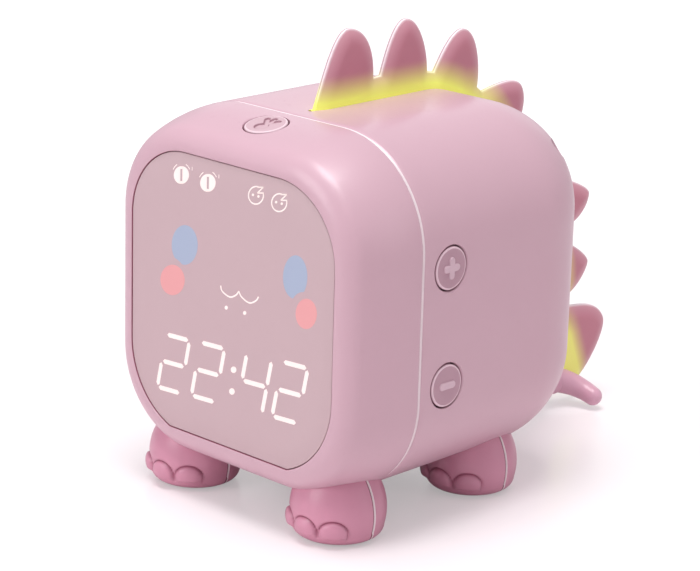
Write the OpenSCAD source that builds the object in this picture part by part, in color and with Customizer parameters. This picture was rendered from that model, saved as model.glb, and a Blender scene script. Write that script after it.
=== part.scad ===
// Bedside alarm clock for a child, shaped like a small dinosaur.
// A rounded box of two shells stands on four feet, with a glowing crest along its back.
// Every module is drawn with y = 0 at the middle of the body and z = 0 on the table.

/* [Body] */
// Width of the body across the side buttons
body_w = 95; // [94:0.5:97]
// Height of the body without its feet and crest
body_h = 96.5; // [96:0.5:98]
// Depth of the body from the display face to the flat of the back
body_d = 100; // [99:0.5:101]
// Height of the body's underside above the table
ground_gap = 9.75; // [9.5:0.25:10.5]
// Radius of the four long edges of the body
corner_r = 29; // [28.75:0.25:29.5]
// Radius of the edge around the back
rear_r = 28.5; // [28:0.25:28.5]
// Thickness of the moulded shells
wall = 2; // [1.8:0.1:2.2]

/* [Front shell] */
// Depth of the front shell, from the display face to the seam
front_depth = 22.3; // [22:0.1:22.6]
// How far the front edge curves in around the display
front_inset = 9.8; // [9.6:0.1:10]
// Radius of the tight last part of the front edge
front_small_r = 7; // [6.5:0.25:7.5]

/* [Display] */
// Width of the display window
window_w = 75.3; // [75:0.1:75.5]
// Height of the display window
window_h = 76.4; // [76:0.1:76.6]
// Radius of the window's upper corners
window_top_r = 20.2; // [19.5:0.1:21]
// Radius of the window's lower corners
window_low_r = 23; // [22:0.5:24]
// Height of one digit
digit_h = 16.7; // [16:0.1:17.5]
// Width of one digit
digit_w = 10.5; // [10:0.1:11]
// Lean of the digits in degrees
digit_lean = 15; // [12:1:18]

/* [Buttons] */
// Radius of a button cap
cap_r = 5.8; // [5.6:0.1:5.9]
// Travel of a button
press_travel = 0.6; // [0.4:0.1:0.8]
// Distance from the seam back to the side buttons
side_button_back = 10.4; // [10:0.1:11]
// Height of the upper side button above the table
upper_button_z = 73.2; // [72:0.2:74]
// Height of the lower side button above the table
lower_button_z = 41.7; // [41:0.1:43]
// Distance from the seam forward to the top button
top_button_ahead = 9.9; // [9.6:0.1:10.2]

/* [Crest] */
// Thickness of the glowing crest
crest_t = 3.6; // [3.2:0.1:4]
// How deep the crest's root sits below the shell's surface
crest_root = 3.5; // [3:0.1:3.8]

/* [Feet] */
// Half the distance between the left and right feet
foot_x = 27.35; // [27:0.05:27.6]
// Radius of a foot at its widest
foot_r = 12.8; // [12.5:0.1:13]
// Thickness of the rubber pad under a foot
pad_t = 0.5; // [0.4:0.1:0.8]

/* [Hidden] */

half_w = body_w / 2;
half_h = body_h / 2;
half_d = body_d / 2;
mid_z = ground_gap + half_h;
seam_y = -half_d + front_depth;
seam_s = -seam_y;                    // the seam's place along the section's own axis
straight_x = half_w - corner_r;      // half the flat width between the long edges
straight_z = half_h - corner_r;
inner_top_z = mid_z + half_h - wall;
inner_low_z = ground_gap + wall;

// The front edge is a wide arc that runs into a tight one.
front_turn = 2 * atan((front_inset - front_small_r) / (front_depth - front_small_r));
front_big_r = front_small_r + (front_depth - front_small_r) / sin(front_turn);

button_gap = 0.3;
side_button_y = seam_y + side_button_back;
top_button_turn = asin(top_button_ahead / front_big_r);
top_button_y = seam_y - top_button_ahead;
top_button_z = mid_z + half_h - front_big_r * (1 - cos(top_button_turn));

front_foot_y = -35.45;
rear_foot_y = 16.75;
foot_seam = 0.4;                     // from a foot's middle back to its seam
foot_low = pad_t;

screw_x = 35;
screw_z = 35.5;
screw_seat_y = 1;                    // where the heads of the long screws seat

smooth = 120;
fine = 48;

module placed() translate([0, -origin_y, 0]) children();

// ---------------------------------------------------------------- body sections

function arc(centre, r, from, to, runs) =
    [for (k = [0:runs]) let (a = from + (to - from) * k / runs) centre + r * [cos(a), sin(a)]];

// Edge of the front shell: x runs outwards to reach, y towards the viewer.
// Its two arcs are drawn as short straight runs, so that the corners are made of plain cones.
module front_section(reach, inset, overlap = 0) {
    big = [reach - front_big_r, seam_s];
    small = big + (front_big_r - front_small_r) * [cos(front_turn), sin(front_turn)];
    polygon(concat(
        [[0, half_d - inset], [0, seam_s - overlap]],
        overlap > 0 ? [[reach - inset, seam_s - overlap]] : [],
        arc(big, front_big_r - inset, 0, front_turn, 6),
        arc(small, front_small_r - inset, front_turn + 8, 90, 7)));
}

// Edge of the rear shell, in the same directions.
module rear_section(reach, inset, overlap = 0) {
    turn_s = rear_r - half_d;
    translate([0, turn_s]) square([reach - inset, seam_s - turn_s + overlap]);
    translate([0, inset - half_d]) square([reach - rear_r, rear_r]);
    intersection() {
        translate([reach - rear_r, turn_s]) circle(rear_r - inset, $fn = smooth);
        translate([reach - rear_r, turn_s - rear_r]) square([rear_r, rear_r]);
    }
}

module section(part, reach, inset, overlap) {
    if (part == "front") front_section(reach, inset, overlap);
    if (part == "rear") rear_section(reach, inset, overlap);
}

module whole_section(part, reach, inset, overlap) {
    section(part, reach, inset, overlap);
    mirror([1, 0]) section(part, reach, inset, overlap);
}

// A block with the shell's rounded outline, its section carried round the four long edges.
module body_block(part, inset = 0, overlap = 0) {
    translate([0, 0, mid_z]) rotate([90, 0, 0]) {
        for (k = [0:3])
            translate([(k == 0 || k == 3 ? 1 : -1) * straight_x, (k < 2 ? 1 : -1) * straight_z, 0])
                rotate([0, 0, 90 * k])
                    rotate_extrude(angle = 90, $fn = smooth) section(part, corner_r, inset, overlap);
        rotate([90, 0, 0])
            linear_extrude(2 * straight_z, center = true) whole_section(part, half_w, inset, overlap);
        rotate([90, 0, 90])
            linear_extrude(2 * straight_x, center = true) whole_section(part, half_h, inset, overlap);
    }
}

module body_solid() {
    body_block("front");
    body_block("rear");
}

// ---------------------------------------------------------------- placing

module on_face(depth) translate([0, -depth, mid_z]) rotate([90, 0, 0]) children();

module on_side(side, z) translate([side * half_w, side_button_y, z]) rotate([0, side * 90, 0]) children();

module on_top_button() translate([0, top_button_y, top_button_z]) rotate([top_button_turn, 0, 0]) children();

module at_buttons() {
    on_top_button() children();
    for (side = [-1, 1], z = [lower_button_z, upper_button_z]) on_side(side, z) children();
}

module at_screws() {
    for (x = [-screw_x, screw_x], z = [-screw_z, screw_z])
        translate([x, 0, mid_z + z]) rotate([90, 0, 0]) children();
}

module rounded_square(w, h, r) {
    square([w - 2 * r, h], center = true);
    square([w, h - 2 * r], center = true);
    for (x = [-1, 1], y = [-1, 1]) translate([x * (w / 2 - r), y * (h / 2 - r)]) circle(r, $fn = fine);
}

module plate(w, h, t, r) linear_extrude(t) rounded_square(w, h, r);

// ---------------------------------------------------------------- display

// The window's outline: wide lower corners cut off by a straight lower edge.
module window_outline(grow = 0) {
    w = window_w / 2 + grow;
    h = window_h / 2 + grow;
    top_r = window_top_r + grow;
    low_r = window_low_r + grow;
    low_cut = 1.3;
    intersection() {
        union() {
            translate([-w, -h]) square([2 * w, 2 * h - top_r]);
            translate([top_r - w, -h]) square([2 * (w - top_r), 2 * h]);
            for (x = [-1, 1]) translate([x * (w - top_r), h - top_r]) circle(top_r, $fn = smooth);
        }
        union() {
            translate([-w, low_r - h - low_cut]) square([2 * w, 2 * h]);
            translate([low_r - w, -h - low_cut]) square([2 * (w - low_r), 2 * h]);
            for (x = [-1, 1]) translate([x * (w - low_r), low_r - h - low_cut]) circle(low_r, $fn = smooth);
        }
    }
}

bar_w = 1.3;
bar_gap = 0.35;
digit_z = 39.2;                      // height of the digits' middles at the middle of the display
digit_x = [-21.1, -7.65, 9.9, 22.9];
digit_rise = 0.076;                  // the row of digits climbs this much in each mm to the right
digit_tilt = 3;                      // each digit is turned this many degrees
colon = [1.85, 38.75];

module bar(length, grow) {
    half = length / 2 - bar_gap + grow;
    thick = bar_w / 2 + grow;
    polygon([[-half, 0], [thick - half, thick], [half - thick, thick], [half, 0],
        [half - thick, -thick], [thick - half, -thick]]);
}

module digit(grow) {
    w = digit_w - bar_w;
    h = (digit_h - bar_w) / 2;
    for (level = [-1, 0, 1]) translate([level * h * tan(digit_lean), level * h]) bar(w, grow);
    for (side = [-1, 1], level = [-1, 1])
        translate([side * w / 2 + level * h / 2 * tan(digit_lean), level * h / 2])
            rotate(90 - digit_lean) bar(h / cos(digit_lean), grow);
}

module at_digits() for (x = digit_x)
    translate([x, digit_z - mid_z + digit_rise * x]) rotate(digit_tilt) children();

module lit_marks(grow = 0) {
    at_digits() digit(grow);
    for (level = [-1, 1]) translate(colon + [0.25 * level, 3.05 * level - mid_z]) circle(1.05 + grow, $fn = 24);
    for (x = [-18.7, -8.5, 9.3, 17.6]) translate([x, 32.1]) circle(2.6 + grow, $fn = 24);
    for (x = [0.3, 7]) translate([x, 4.4]) circle(2.2 + grow, $fn = 24);
}

mask_back = 41.8;
mask_front = 46;
board_t = 1.6;
display_board_front = 41;

module display_window() color([0.80, 0.71, 0.72]) {
    on_face(half_d - wall) linear_extrude(wall - 0.2) window_outline();
    on_face(mask_front + 0.6) linear_extrude(1.4) window_outline(0.8);
}

module face_film() color([0.86, 0.78, 0.79])
    on_face(mask_front + 0.1) linear_extrude(0.4) window_outline(0.6);

module segment_mask() color("black") {
    on_face(mask_back) linear_extrude(mask_front - mask_back) difference() {
        window_outline(-2);
        lit_marks(0.05);
    }
    for (x = [-25, 25], z = [-30, 30])
        on_face(display_board_front) translate([x, z, 0]) cylinder(r = 1.5, h = mask_back - display_board_front, $fn = 24);
}

module segment_bars() color("white")
    on_face(mask_back + 0.6) linear_extrude(mask_front - mask_back - 0.6) lit_marks();

module display_board() color("darkgreen")
    on_face(display_board_front - board_t) plate(56, 66, board_t, 3);

module display_leds() color("ivory") {
    w = digit_w - bar_w;
    h = (digit_h - bar_w) / 2;
    on_face(display_board_front) {
        at_digits() {
            for (level = [-1, 0, 1])
                translate([level * h * tan(digit_lean) - 0.8, level * h - 0.4, 0]) cube([1.6, 0.8, 0.8]);
            for (side = [-1, 1], level = [-1, 1])
                translate([side * w / 2 + level * h / 2 * tan(digit_lean) - 0.4, level * h / 2 - 0.8, 0])
                    cube([0.8, 1.6, 0.8]);
        }
        for (x = [-18.7, -8.5, 9.3, 17.6]) translate([x - 0.8, 30.9, 0]) cube([1.6, 1.4, 0.8]);
        for (x = [0.3, 7]) translate([x - 0.8, 3.7, 0]) cube([1.6, 1.4, 0.8]);
    }
}

// ---------------------------------------------------------------- shells

module seam_ring(inset, thick, low, high) {
    on_face(low) linear_extrude(high - low) difference() {
        rounded_square(body_w - 2 * inset, body_h - 2 * inset, corner_r - inset);
        rounded_square(body_w - 2 * (inset + thick), body_h - 2 * (inset + thick), corner_r - inset - thick);
    }
}

module front_shell() color([0.86, 0.72, 0.76]) difference() {
    union() {
        difference() {
            body_block("front");
            body_block("front", wall, 1);
        }
        // tongue that locates the rear shell
        seam_ring(wall + 0.15, 1.2, seam_s - 2.5, seam_s);
        seam_ring(wall - 0.3, 1.35, seam_s, seam_s + 2);
        intersection() {
            at_screws() translate([0, 0, 18]) cylinder(r = 3.2, h = 27.4, $fn = fine);
            body_block("front", wall / 2, 10);
        }
    }
    on_face(half_d - 4) linear_extrude(5) window_outline(0.1);
    at_screws() translate([0, 0, 17]) cylinder(r = 1.1, h = 14, $fn = 24);
    on_top_button() translate([0, 0, -6]) cylinder(r = cap_r + button_gap, h = 12, $fn = fine);
}

usb_x = -30;
usb_z = 46;
usb_y = 46.4;                       // the mouth of the inlet

module grille_holes() {
    translate([0, speaker_y, ground_gap - 1]) {
        cylinder(r = 1, h = 4, $fn = 24);
        for (ring = [1:3], k = [0:6 * ring - 1])
            rotate(60 * k / ring) translate([4 * ring, 0, 0]) cylinder(r = 1, h = 4, $fn = 24);
    }
}

module screw_wells() {
    at_screws() {
        translate([0, 0, -screw_seat_y - 60]) cylinder(r = 3, h = 60, $fn = fine);
        translate([0, 0, -screw_seat_y - 1]) cylinder(r = 1.6, h = 22, $fn = 24);
    }
}

module rear_shell() color([0.85, 0.70, 0.75]) difference() {
    union() {
        difference() {
            body_block("rear");
            body_block("rear", wall, 1);
        }
        intersection() {
            at_screws() translate([0, 0, -46]) cylinder(r = 4.6, h = 63.7, $fn = fine);
            body_block("rear", wall / 2);
        }
        main_board_posts();
        speaker_wall();
        crest_board_posts();
        usb_shelf();
    }
    screw_wells();
    for (side = [-1, 1], z = [lower_button_z, upper_button_z])
        on_side(side, z) translate([0, 0, -4]) cylinder(r = cap_r + button_gap, h = 6, $fn = fine);
    crest_slot();
    tail_window();
    grille_holes();
    translate([usb_x, usb_y - 8, usb_z]) rotate([-90, 0, 0]) plate(9.4, 3.6, 14, 1.4);
}

// Opening in the flat of the back that lets light and wires into the tail.
module tail_window() {
    translate([0, half_d + 1, 58]) rotate([90, 0, 0]) plate(14, 26, 5, 3);
}

// ---------------------------------------------------------------- crest

function mix_points(a, b, t) = a * (1 - t) + b * t;
function bend(a, b, c, d, t) =
    mix_points(
        mix_points(mix_points(a, b, t), mix_points(b, c, t), t),
        mix_points(mix_points(b, c, t), mix_points(c, d, t), t), t);

// One fin between two valleys: it leans up from the front, rounds over its tip and falls more steeply behind.
function fin(valley, tip, next, blunt, steps = 7) =
    let (along = (next - valley) / norm(next - valley),
        from = valley + along * valley_half, to = next - along * valley_half,
        out = tip - (from + to) / 2, over = [out[1], -out[0]] / norm(out) * norm(to - from) * blunt)
    concat(
        [for (k = [0:steps]) bend(from, from + (tip - from + out) * 0.25, tip - over * 0.22, tip, k / steps)],
        [for (k = [1:steps]) bend(tip, tip + over * 0.26, to + (tip - to) * 0.04 + out * 0.47, to, k / steps)]);

crest_front_y = -21.6;
valley_half = 1.4;                   // half the length of the saddle between two fins
body_top = mid_z + half_h;
// Valleys and tips of the fins as [y, z], from the front of the top to the low back.
fin_valleys = [
    [crest_front_y, body_top], [3.2, 112.5], [24.6, 110.9], [45.6, 103.3],
    [59.5, 85], [70.5, 75.5], [83.5, 53.6], [86.5, 31.8]
];
fin_tips = [[-8, 126.6], [14, 126.6], [38, 121], [63.8, 101.2], [69.5, 84.6], [97.3, 64], [98.4, 42.8]];
fin_blunt = [1, 1, 1, 1, 1, 0.6, 0.5];   // how round each fin's tip is

// The tail's ridge seen from the side, as its height at y.
tail_from = 36;
tail_long = 45;
tail_low = 30;
function ridge(y) = tail_low + 54 * pow(max(0, 1 - pow((y - tail_from) / tail_long, 1.65)), 1 / 1.65);

root_r = rear_r - crest_root;
root_turn = 46;
crest_outer = [for (k = [0:len(fin_tips) - 1])
    each fin(fin_valleys[k], fin_tips[k], fin_valleys[k + 1], fin_blunt[k])];
crest_inner = concat(
    [[79.3, 31.8]],
    [for (y = [77.5, 74, 69, 63, 57]) [y - 2.5, ridge(y) - 3.5]],
    [for (k = [8:-1:0])
        [half_d - rear_r + root_r * sin(root_turn * k / 8),
            body_top - rear_r + root_r * cos(root_turn * k / 8)]],
    [[crest_front_y + 1.2, body_top - crest_root]]);

module crest_outline() polygon(concat(crest_outer, [fin_valleys[len(fin_valleys) - 1]], crest_inner));

tail_fin_start = fin_valleys[len(fin_valleys) - 1] - [0, 0.6];
tail_fin_tip = [107.5, 23.4];
tail_fin_end = [96.5, 6.3];
tail_fin_outer = concat(
    [for (k = [0:7]) bend(tail_fin_start, [92, 29.4], [103.5, 31], tail_fin_tip, k / 8)],
    [for (k = [0:8]) bend(tail_fin_tip, [109.3, 19.8], [103, 10.5], tail_fin_end, k / 8)]);

// The whole object reaches from the display face to the tip of the tail fin.
tail_reach = max([for (p = tail_fin_outer) p[0]]);
origin_y = (tail_reach - half_d) / 2;

module tail_fin_outline() polygon(concat(tail_fin_outer, [[88, 4.5], [80, 8], [78, 18], [78.8, 31.2]]));

module upright(t) rotate([90, 0, 90]) linear_extrude(t, center = true) children();

module crest() color([0.80, 0.55, 0.60, 0.8]) upright(crest_t) crest_outline();

module tail_fin() color([0.78, 0.50, 0.58, 0.8]) upright(crest_t) tail_fin_outline();

module crest_slot() {
    upright(crest_t + 0.2) crest_outline();
    upright(crest_t + 0.2) tail_fin_outline();
}

// ---------------------------------------------------------------- tail

// Rings of a closed tube: every ring has the same number of points.
module lofted(rings) {
    sides = len(rings[0]);
    last = len(rings) - 1;
    polyhedron(
        points = [for (ring = rings) each ring],
        faces = concat(
            [[for (k = [0:sides - 1]) sides - 1 - k]],
            [for (r = [0:last - 1], k = [0:sides - 1])
                [r * sides + k, r * sides + (k + 1) % sides, (r + 1) * sides + k]],
            [for (r = [0:last - 1], k = [0:sides - 1])
                [r * sides + (k + 1) % sides, (r + 1) * sides + (k + 1) % sides, (r + 1) * sides + k]],
            [[for (k = [0:sides - 1]) last * sides + k]]));
}

function tail_half_width(t) = 15 * pow(max(0, 1 - pow(t, 2.6)), 0.55);
function tail_floor(y) = 4.5 + 12 * pow(max(0, (tail_from + tail_long - y) / tail_long), 1.3);

// One upright oval ring; square is 1 for an ellipse and less for a fuller one.
function oval(y, low, top, wide, square, sides) =
    [for (k = [0:sides - 1])
        let (c = cos(360 * k / sides), v = sin(360 * k / sides))
        [wide * sign(c) * pow(abs(c), square), y,
            (top + low) / 2 + (top - low) / 2 * sign(v) * pow(abs(v), square)]];

function tail_ring(t, inset, sides) =
    let (y = tail_from + tail_long * t)
    oval(y, tail_floor(y) + inset, ridge(y) - inset, tail_half_width(t) - inset, 0.87, sides);

// The slender end of the tail swings out to the plus and minus side.
tip_path = [[0.6, 86.4, 7.9], [3.8, 89.6, 6.6], [7.4, 91.2, 5.2], [10.6, 91.5, 4.1]];
tip_radii = [3.9, 3.4, 3.0, 2.8];
tip_start = [0, 84, 8.1];

function tip_direction(k) =
    let (a = k == 0 ? tip_start : tip_path[k - 1], b = tip_path[min(len(tip_path) - 1, k + 1)])
    (b - a) / norm(b - a);

// A round ring square to its direction, numbered like the oval rings.
function round_ring(centre, direction, radius, sides) =
    let (across = cross(direction, [0, 0, 1]) / norm(cross(direction, [0, 0, 1])),
        over = cross(across, direction))
    [for (k = [0:sides - 1])
        centre + radius * (across * cos(360 * k / sides) + over * sin(360 * k / sides))];

function tail_rings(sides) =
    let (last = len(tip_path) - 1, end_t = 0.96, end_y = tail_from + tail_long * end_t,
        end_top = ridge(end_y), end_low = tail_floor(end_y), neck_r = tip_radii[0] + 0.4)
    concat(
        [for (k = [0:9]) tail_ring(0.06 + (end_t - 0.06) * sin(90 * k / 9), 0, sides)],
        // the ridge drops away to the slender end
        [for (f = [0.25, 0.5, 0.8])
            oval(end_y + (tip_start[1] - end_y) * f, end_low * (1 - f) + (tip_start[2] - neck_r) * f,
                tip_start[2] + neck_r + (end_top - tip_start[2] - neck_r) * pow(1 - f, 2),
                tail_half_width(end_t) * (1 - f) + neck_r * f, 0.87 + 0.13 * f, sides)],
        [for (k = [0:last]) round_ring(tip_path[k], tip_direction(k), tip_radii[k], sides)],
        [for (turn = [30, 55, 78])
            round_ring(tip_path[last] + tip_direction(last) * tip_radii[last] * sin(turn),
                tip_direction(last), tip_radii[last] * cos(turn), sides)]);

module tail_hollow() lofted([for (k = [0:7]) tail_ring(0.86 * sin(90 * k / 7), 2.2, 24)]);

module tail() color([0.82, 0.62, 0.70]) difference() {
    lofted(tail_rings(32));
    body_block("rear");
    tail_hollow();
    crest_slot();
}

// ---------------------------------------------------------------- feet

barrel_r = 16;                       // bulge of a foot's side
barrel_z = 7.5;                        // height where a foot is widest
sole_r = 3;                          // rounding of a foot's lower edge
toe_r = 4;
toe_out = 1.2;                       // how far a toe stands out of its foot
toe_lift = 0.6;                      // how high a toe hangs above the sole
toe_pitch = 38.5;

foot_top = 22;                       // the barrel runs up into the body
function barrel_at(z) = foot_r - barrel_r + sqrt(pow(barrel_r, 2) - pow(z - barrel_z, 2));

// Half of a foot's outline, its bulging side drawn as short straight runs.
module foot_section() {
    runs = 7;
    sole_z = foot_low + sole_r;
    low_r = barrel_at(sole_z);
    polygon(concat(
        [[0, foot_top], [0, sole_z]],
        [for (k = [0:runs]) let (z = sole_z + (foot_top - sole_z) * k / runs) [barrel_at(z), z]]));
    translate([0, foot_low]) square([low_r - sole_r, sole_r]);
    intersection() {
        translate([low_r - sole_r, sole_z]) circle(sole_r, $fn = fine);
        translate([low_r - sole_r, foot_low]) square(sole_r);
    }
}

module toes(side, y) translate([side * foot_x, y, 0]) for (turn = [-toe_pitch, 0, toe_pitch])
    rotate([0, 0, turn - 90]) translate([foot_r - toe_r + toe_out, 0, foot_low + toe_lift + toe_r])
        sphere(toe_r, $fn = fine);

module foot_barrel(side, y) translate([side * foot_x, y, 0]) rotate_extrude($fn = smooth) foot_section();

// Everything behind a foot's seam, or with side -1 everything before it.
module behind_seam(y, side = 1) translate([0, y + foot_seam + side * 20, 20]) cube([120, 40, 60], center = true);

module foot(side, y) color([0.84, 0.58, 0.67]) {
    difference() {
        foot_barrel(side, y);
        body_solid();
        behind_seam(y);
    }
    toes(side, y);
}

module heel(side, y) color([0.82, 0.56, 0.66]) difference() {
    foot_barrel(side, y);
    body_solid();
    behind_seam(y, -1);
}

module front_right_foot() foot(1, front_foot_y);
module front_left_foot() foot(-1, front_foot_y);
module rear_right_foot() foot(1, rear_foot_y);
module rear_left_foot() foot(-1, rear_foot_y);
module front_right_heel() heel(1, front_foot_y);
module front_left_heel() heel(-1, front_foot_y);
module rear_right_heel() heel(1, rear_foot_y);
module rear_left_heel() heel(-1, rear_foot_y);

module foot_pads() color([0.75, 0.72, 0.72])
    for (side = [-1, 1], y = [front_foot_y, rear_foot_y])
        translate([side * foot_x, y, 0]) cylinder(r = 8.5, h = foot_low, $fn = fine);

// ---------------------------------------------------------------- buttons

flange_top = wall + 0.8;
flange_t = 1;
stem_end = 6.2;
switch_top = 6.9;
switch_t = 3.5;
plunger_in = 0.9;
switch_base = switch_top + switch_t;

module cap() {
    mirror([0, 0, 1]) {
        cylinder(r = cap_r, h = flange_top, $fn = fine);
        translate([0, 0, flange_top]) cylinder(r = cap_r + 1.1, h = flange_t, $fn = fine);
        translate([0, 0, flange_top + flange_t]) cylinder(r = 1.6, h = stem_end - flange_top - flange_t, $fn = 24);
    }
}

mark_t = 0.4;                        // the marks stand out of their buttons
mark_long = 4;
mark_half = 0.95;

module raised_bar(turn) rotate(turn) {
    translate([-mark_long / 2, -mark_half, 0]) cube([mark_long, 2 * mark_half, mark_t]);
    for (end = [-1, 1]) translate([end * mark_long / 2, 0, 0]) cylinder(r = mark_half, h = mark_t, $fn = 24);
}

module raised_ring() {
    difference() {
        cylinder(r = 2.8, h = mark_t, $fn = fine);
        translate([0, 0, -1]) cylinder(r = 1.6, h = 2, $fn = fine);
    }
}

// Three-toed footprint, sunk into the cap.
module footprint() {
    for (turn = [-38, 0, 38]) rotate(turn) {
        translate([-0.7, 0, 0]) cube([1.4, 3.3, 0.5]);
        translate([0, 3.3, 0]) cylinder(r = 0.7, h = 0.5, $fn = 24);
    }
    translate([0, -1.7, 0]) cylinder(r = 1.9, h = 0.5, $fn = 24);
}

module plunger() mirror([0, 0, 1]) translate([0, 0, stem_end])
    cylinder(r = 1.6, h = switch_top + plunger_in - stem_end, $fn = 24);

module snooze_button() color([0.86, 0.72, 0.76]) on_top_button() difference() {
    cap();
    translate([0, 0, -0.3]) footprint();
}

module plus_button() color([0.85, 0.72, 0.77]) on_side(1, upper_button_z) {
    cap();
    raised_bar(0);
    raised_bar(90);
}

module minus_button() color([0.85, 0.72, 0.77]) on_side(1, lower_button_z) {
    cap();
    raised_bar(90);
}

module mode_button() color([0.85, 0.72, 0.77]) on_side(-1, upper_button_z) {
    cap();
    raised_ring();
}

module set_button() color([0.85, 0.72, 0.77]) on_side(-1, lower_button_z) {
    cap();
    cylinder(r = 1.6, h = mark_t, $fn = fine);
}

module snooze_plunger() color("dimgray") on_top_button() plunger();
module plus_plunger() color("dimgray") on_side(1, upper_button_z) plunger();
module minus_plunger() color("dimgray") on_side(1, lower_button_z) plunger();
module mode_plunger() color("dimgray") on_side(-1, upper_button_z) plunger();
module set_plunger() color("dimgray") on_side(-1, lower_button_z) plunger();

module tact_switches() color("silver") at_buttons()
    mirror([0, 0, 1]) translate([0, 0, switch_top]) difference() {
        translate([-3, -3, 0]) cube([6, 6, switch_t]);
        translate([0, 0, -1]) cylinder(r = 1.95, h = 1 + plunger_in + press_travel + 0.3, $fn = 24);
    }

module switch_board_at(length)
    translate([-5, -length / 2, -switch_base - board_t]) cube([10, length, board_t]);

module side_board(side) {
    middle = (upper_button_z + lower_button_z) / 2;
    on_side(side, middle) rotate([0, 0, 90])
        translate([-5, -(upper_button_z - lower_button_z) / 2 - 6, -switch_base - board_t])
            cube([10, upper_button_z - lower_button_z + 12, board_t]);
}

module top_switch_board() color("darkgreen") on_top_button() switch_board_at(12);
module right_switch_board() color("darkgreen") side_board(1);
module left_switch_board() color("darkgreen") side_board(-1);

// ---------------------------------------------------------------- electronics

main_board_y = -2;
main_board_low = 36;
main_board_w = 56;
main_board_tall = 56;

module main_board_corners() {
    for (x = [-24, 24], z = [4, main_board_tall - 4])
        translate([x, main_board_y, main_board_low + z]) rotate([-90, 0, 0]) children();
}

module main_board() color("darkgreen") difference() {
    translate([-main_board_w / 2, main_board_y, main_board_low]) cube([main_board_w, board_t, main_board_tall]);
    main_board_corners() translate([0, 0, -1]) cylinder(r = 1.6, h = 4, $fn = 24);
}

module main_board_posts() difference() {
    intersection() {
        main_board_corners() translate([0, 0, board_t]) cylinder(r = 3, h = half_d, $fn = 24);
        body_block("rear", wall / 2);
    }
    main_board_corners() cylinder(r = 1, h = 9, $fn = 24);
}

module board_screws() color("silver") main_board_corners() {
    translate([0, 0, -1.8]) cylinder(r = 2.4, h = 1.8, $fn = 24);
    cylinder(r = 0.95, h = board_t + 6, $fn = 24);
}

module main_board_chips() color([0.12, 0.12, 0.13]) {
    front = main_board_y;
    for (part = [[-5, 62, 10, 10, 1.5], [12, 66, 6, 5, 1.4], [-20, 50, 8, 5, 1.4], [14, 48, 5, 5, 1.2],
            [-22, 76, 9, 4.5, 5], [16, 78, 9, 4.5, 5], [-4.5, 41, 12, 4.5, 5], [-9, 82, 18, 4.5, 4.5]])
        translate([part[0], front - part[4], part[1]]) cube([part[2], part[4], part[3]]);
}

module capacitors() color([0.15, 0.15, 0.35])
    for (place = [[-14, 66], [6, 75.5], [-6, 75.5]])
        translate([place[0], main_board_y, place[1]]) rotate([90, 0, 0]) cylinder(r = 2.5, h = 6, $fn = 24);

crest_board_z = body_top - 9;
light_board_t = 1.2;

module crest_light_board() color("white")
    translate([-4, -18, crest_board_z]) cube([8, 38, light_board_t]);

// Short posts on the inside of the rear shell that hold the crest's light board.
module crest_board_posts()
    for (x = [-3.1, 3.1], y = [-11, 13])
        translate([x, y, crest_board_z + light_board_t]) cylinder(r = 0.9, h = 7, $fn = 24);

module crest_leds() color("lemonchiffon") {
    for (k = [0:5])
        translate([-1.75, -15.5 + 6.2 * k, crest_board_z + light_board_t]) cube([3.5, 2.8, 1.6]);
    for (k = [0:2])
        translate([-1.75, half_d + light_board_t, 50.5 + 6.2 * k]) cube([3.5, 1.6, 2.8]);
}

module tail_light_board() color("white") translate([-9, half_d, 48]) cube([18, light_board_t, 20]);

speaker_y = -8;

// A low ring in the floor of the rear shell that holds the speaker.
module speaker_wall() {
    difference() {
        translate([0, speaker_y, inner_low_z - 0.5]) cylinder(r = 19.5, h = 4.5, $fn = smooth);
        translate([0, speaker_y, inner_low_z - 1]) cylinder(r = 18.2, h = 7, $fn = smooth);
        // open towards the seam and under the battery
        translate([-30, seam_y - 17, 0]) cube([60, 20, 40]);
        translate([-30, 6, 0]) cube([60, 20, 40]);
    }
}

module speaker_frame() color("gray") translate([0, speaker_y, inner_low_z]) {
    difference() {
        cylinder(r = 15.4, h = 3.4, $fn = smooth);
        translate([0, 0, -1]) cylinder(r = 13.6, h = 3.4, $fn = smooth);
    }
}

module speaker_magnet() color("silver") translate([0, speaker_y, inner_low_z + 3.4])
    cylinder(r = 9, h = 4.2, $fn = smooth);

module speaker_cone() color([0.2, 0.2, 0.22]) translate([0, speaker_y, inner_low_z + 0.9])
    cylinder(r1 = 13.4, r2 = 6, h = 1.4, $fn = smooth);

battery_y = 13;
battery_z = 21;
battery_r = 7.1;
battery_long = 50;

module battery_cell() color([0.35, 0.55, 0.45])
    translate([-battery_long / 2, battery_y, battery_z]) rotate([0, 90, 0])
        cylinder(r = battery_r, h = battery_long, $fn = smooth);

module battery_cradle() color([0.2, 0.2, 0.22]) difference() {
    for (x = [-22, 16]) translate([x, battery_y - 8.5, inner_low_z + 0.3]) cube([6, 17, 8.7]);
    translate([-40, battery_y, battery_z]) rotate([0, 90, 0]) cylinder(r = battery_r + 0.1, h = 80, $fn = smooth);
}

module usb_inlet() color("silver") difference() {
    translate([usb_x, usb_y - 7.5, usb_z]) rotate([-90, 0, 0]) plate(8.9, 3.2, 7.4, 1.3);
    translate([usb_x, usb_y - 5.5, usb_z]) rotate([-90, 0, 0]) plate(8.3, 2.6, 8, 1.1);
    translate([usb_x, usb_y - 0.7, usb_z]) rotate([-90, 0, 0]) plate(9.4, 3.7, 2, 1.4);
}

module usb_board() color("darkgreen")
    translate([usb_x - 5, usb_y - 16, usb_z - 2.8]) cube([12, 12, 1.2]);

// A shelf on the inside of the rear shell under the inlet's board.
module usb_shelf() intersection() {
    translate([usb_x - 5, usb_y - 12, usb_z - 9]) cube([10, 14, 6.2]);
    body_block("rear", wall / 2);
}

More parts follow.
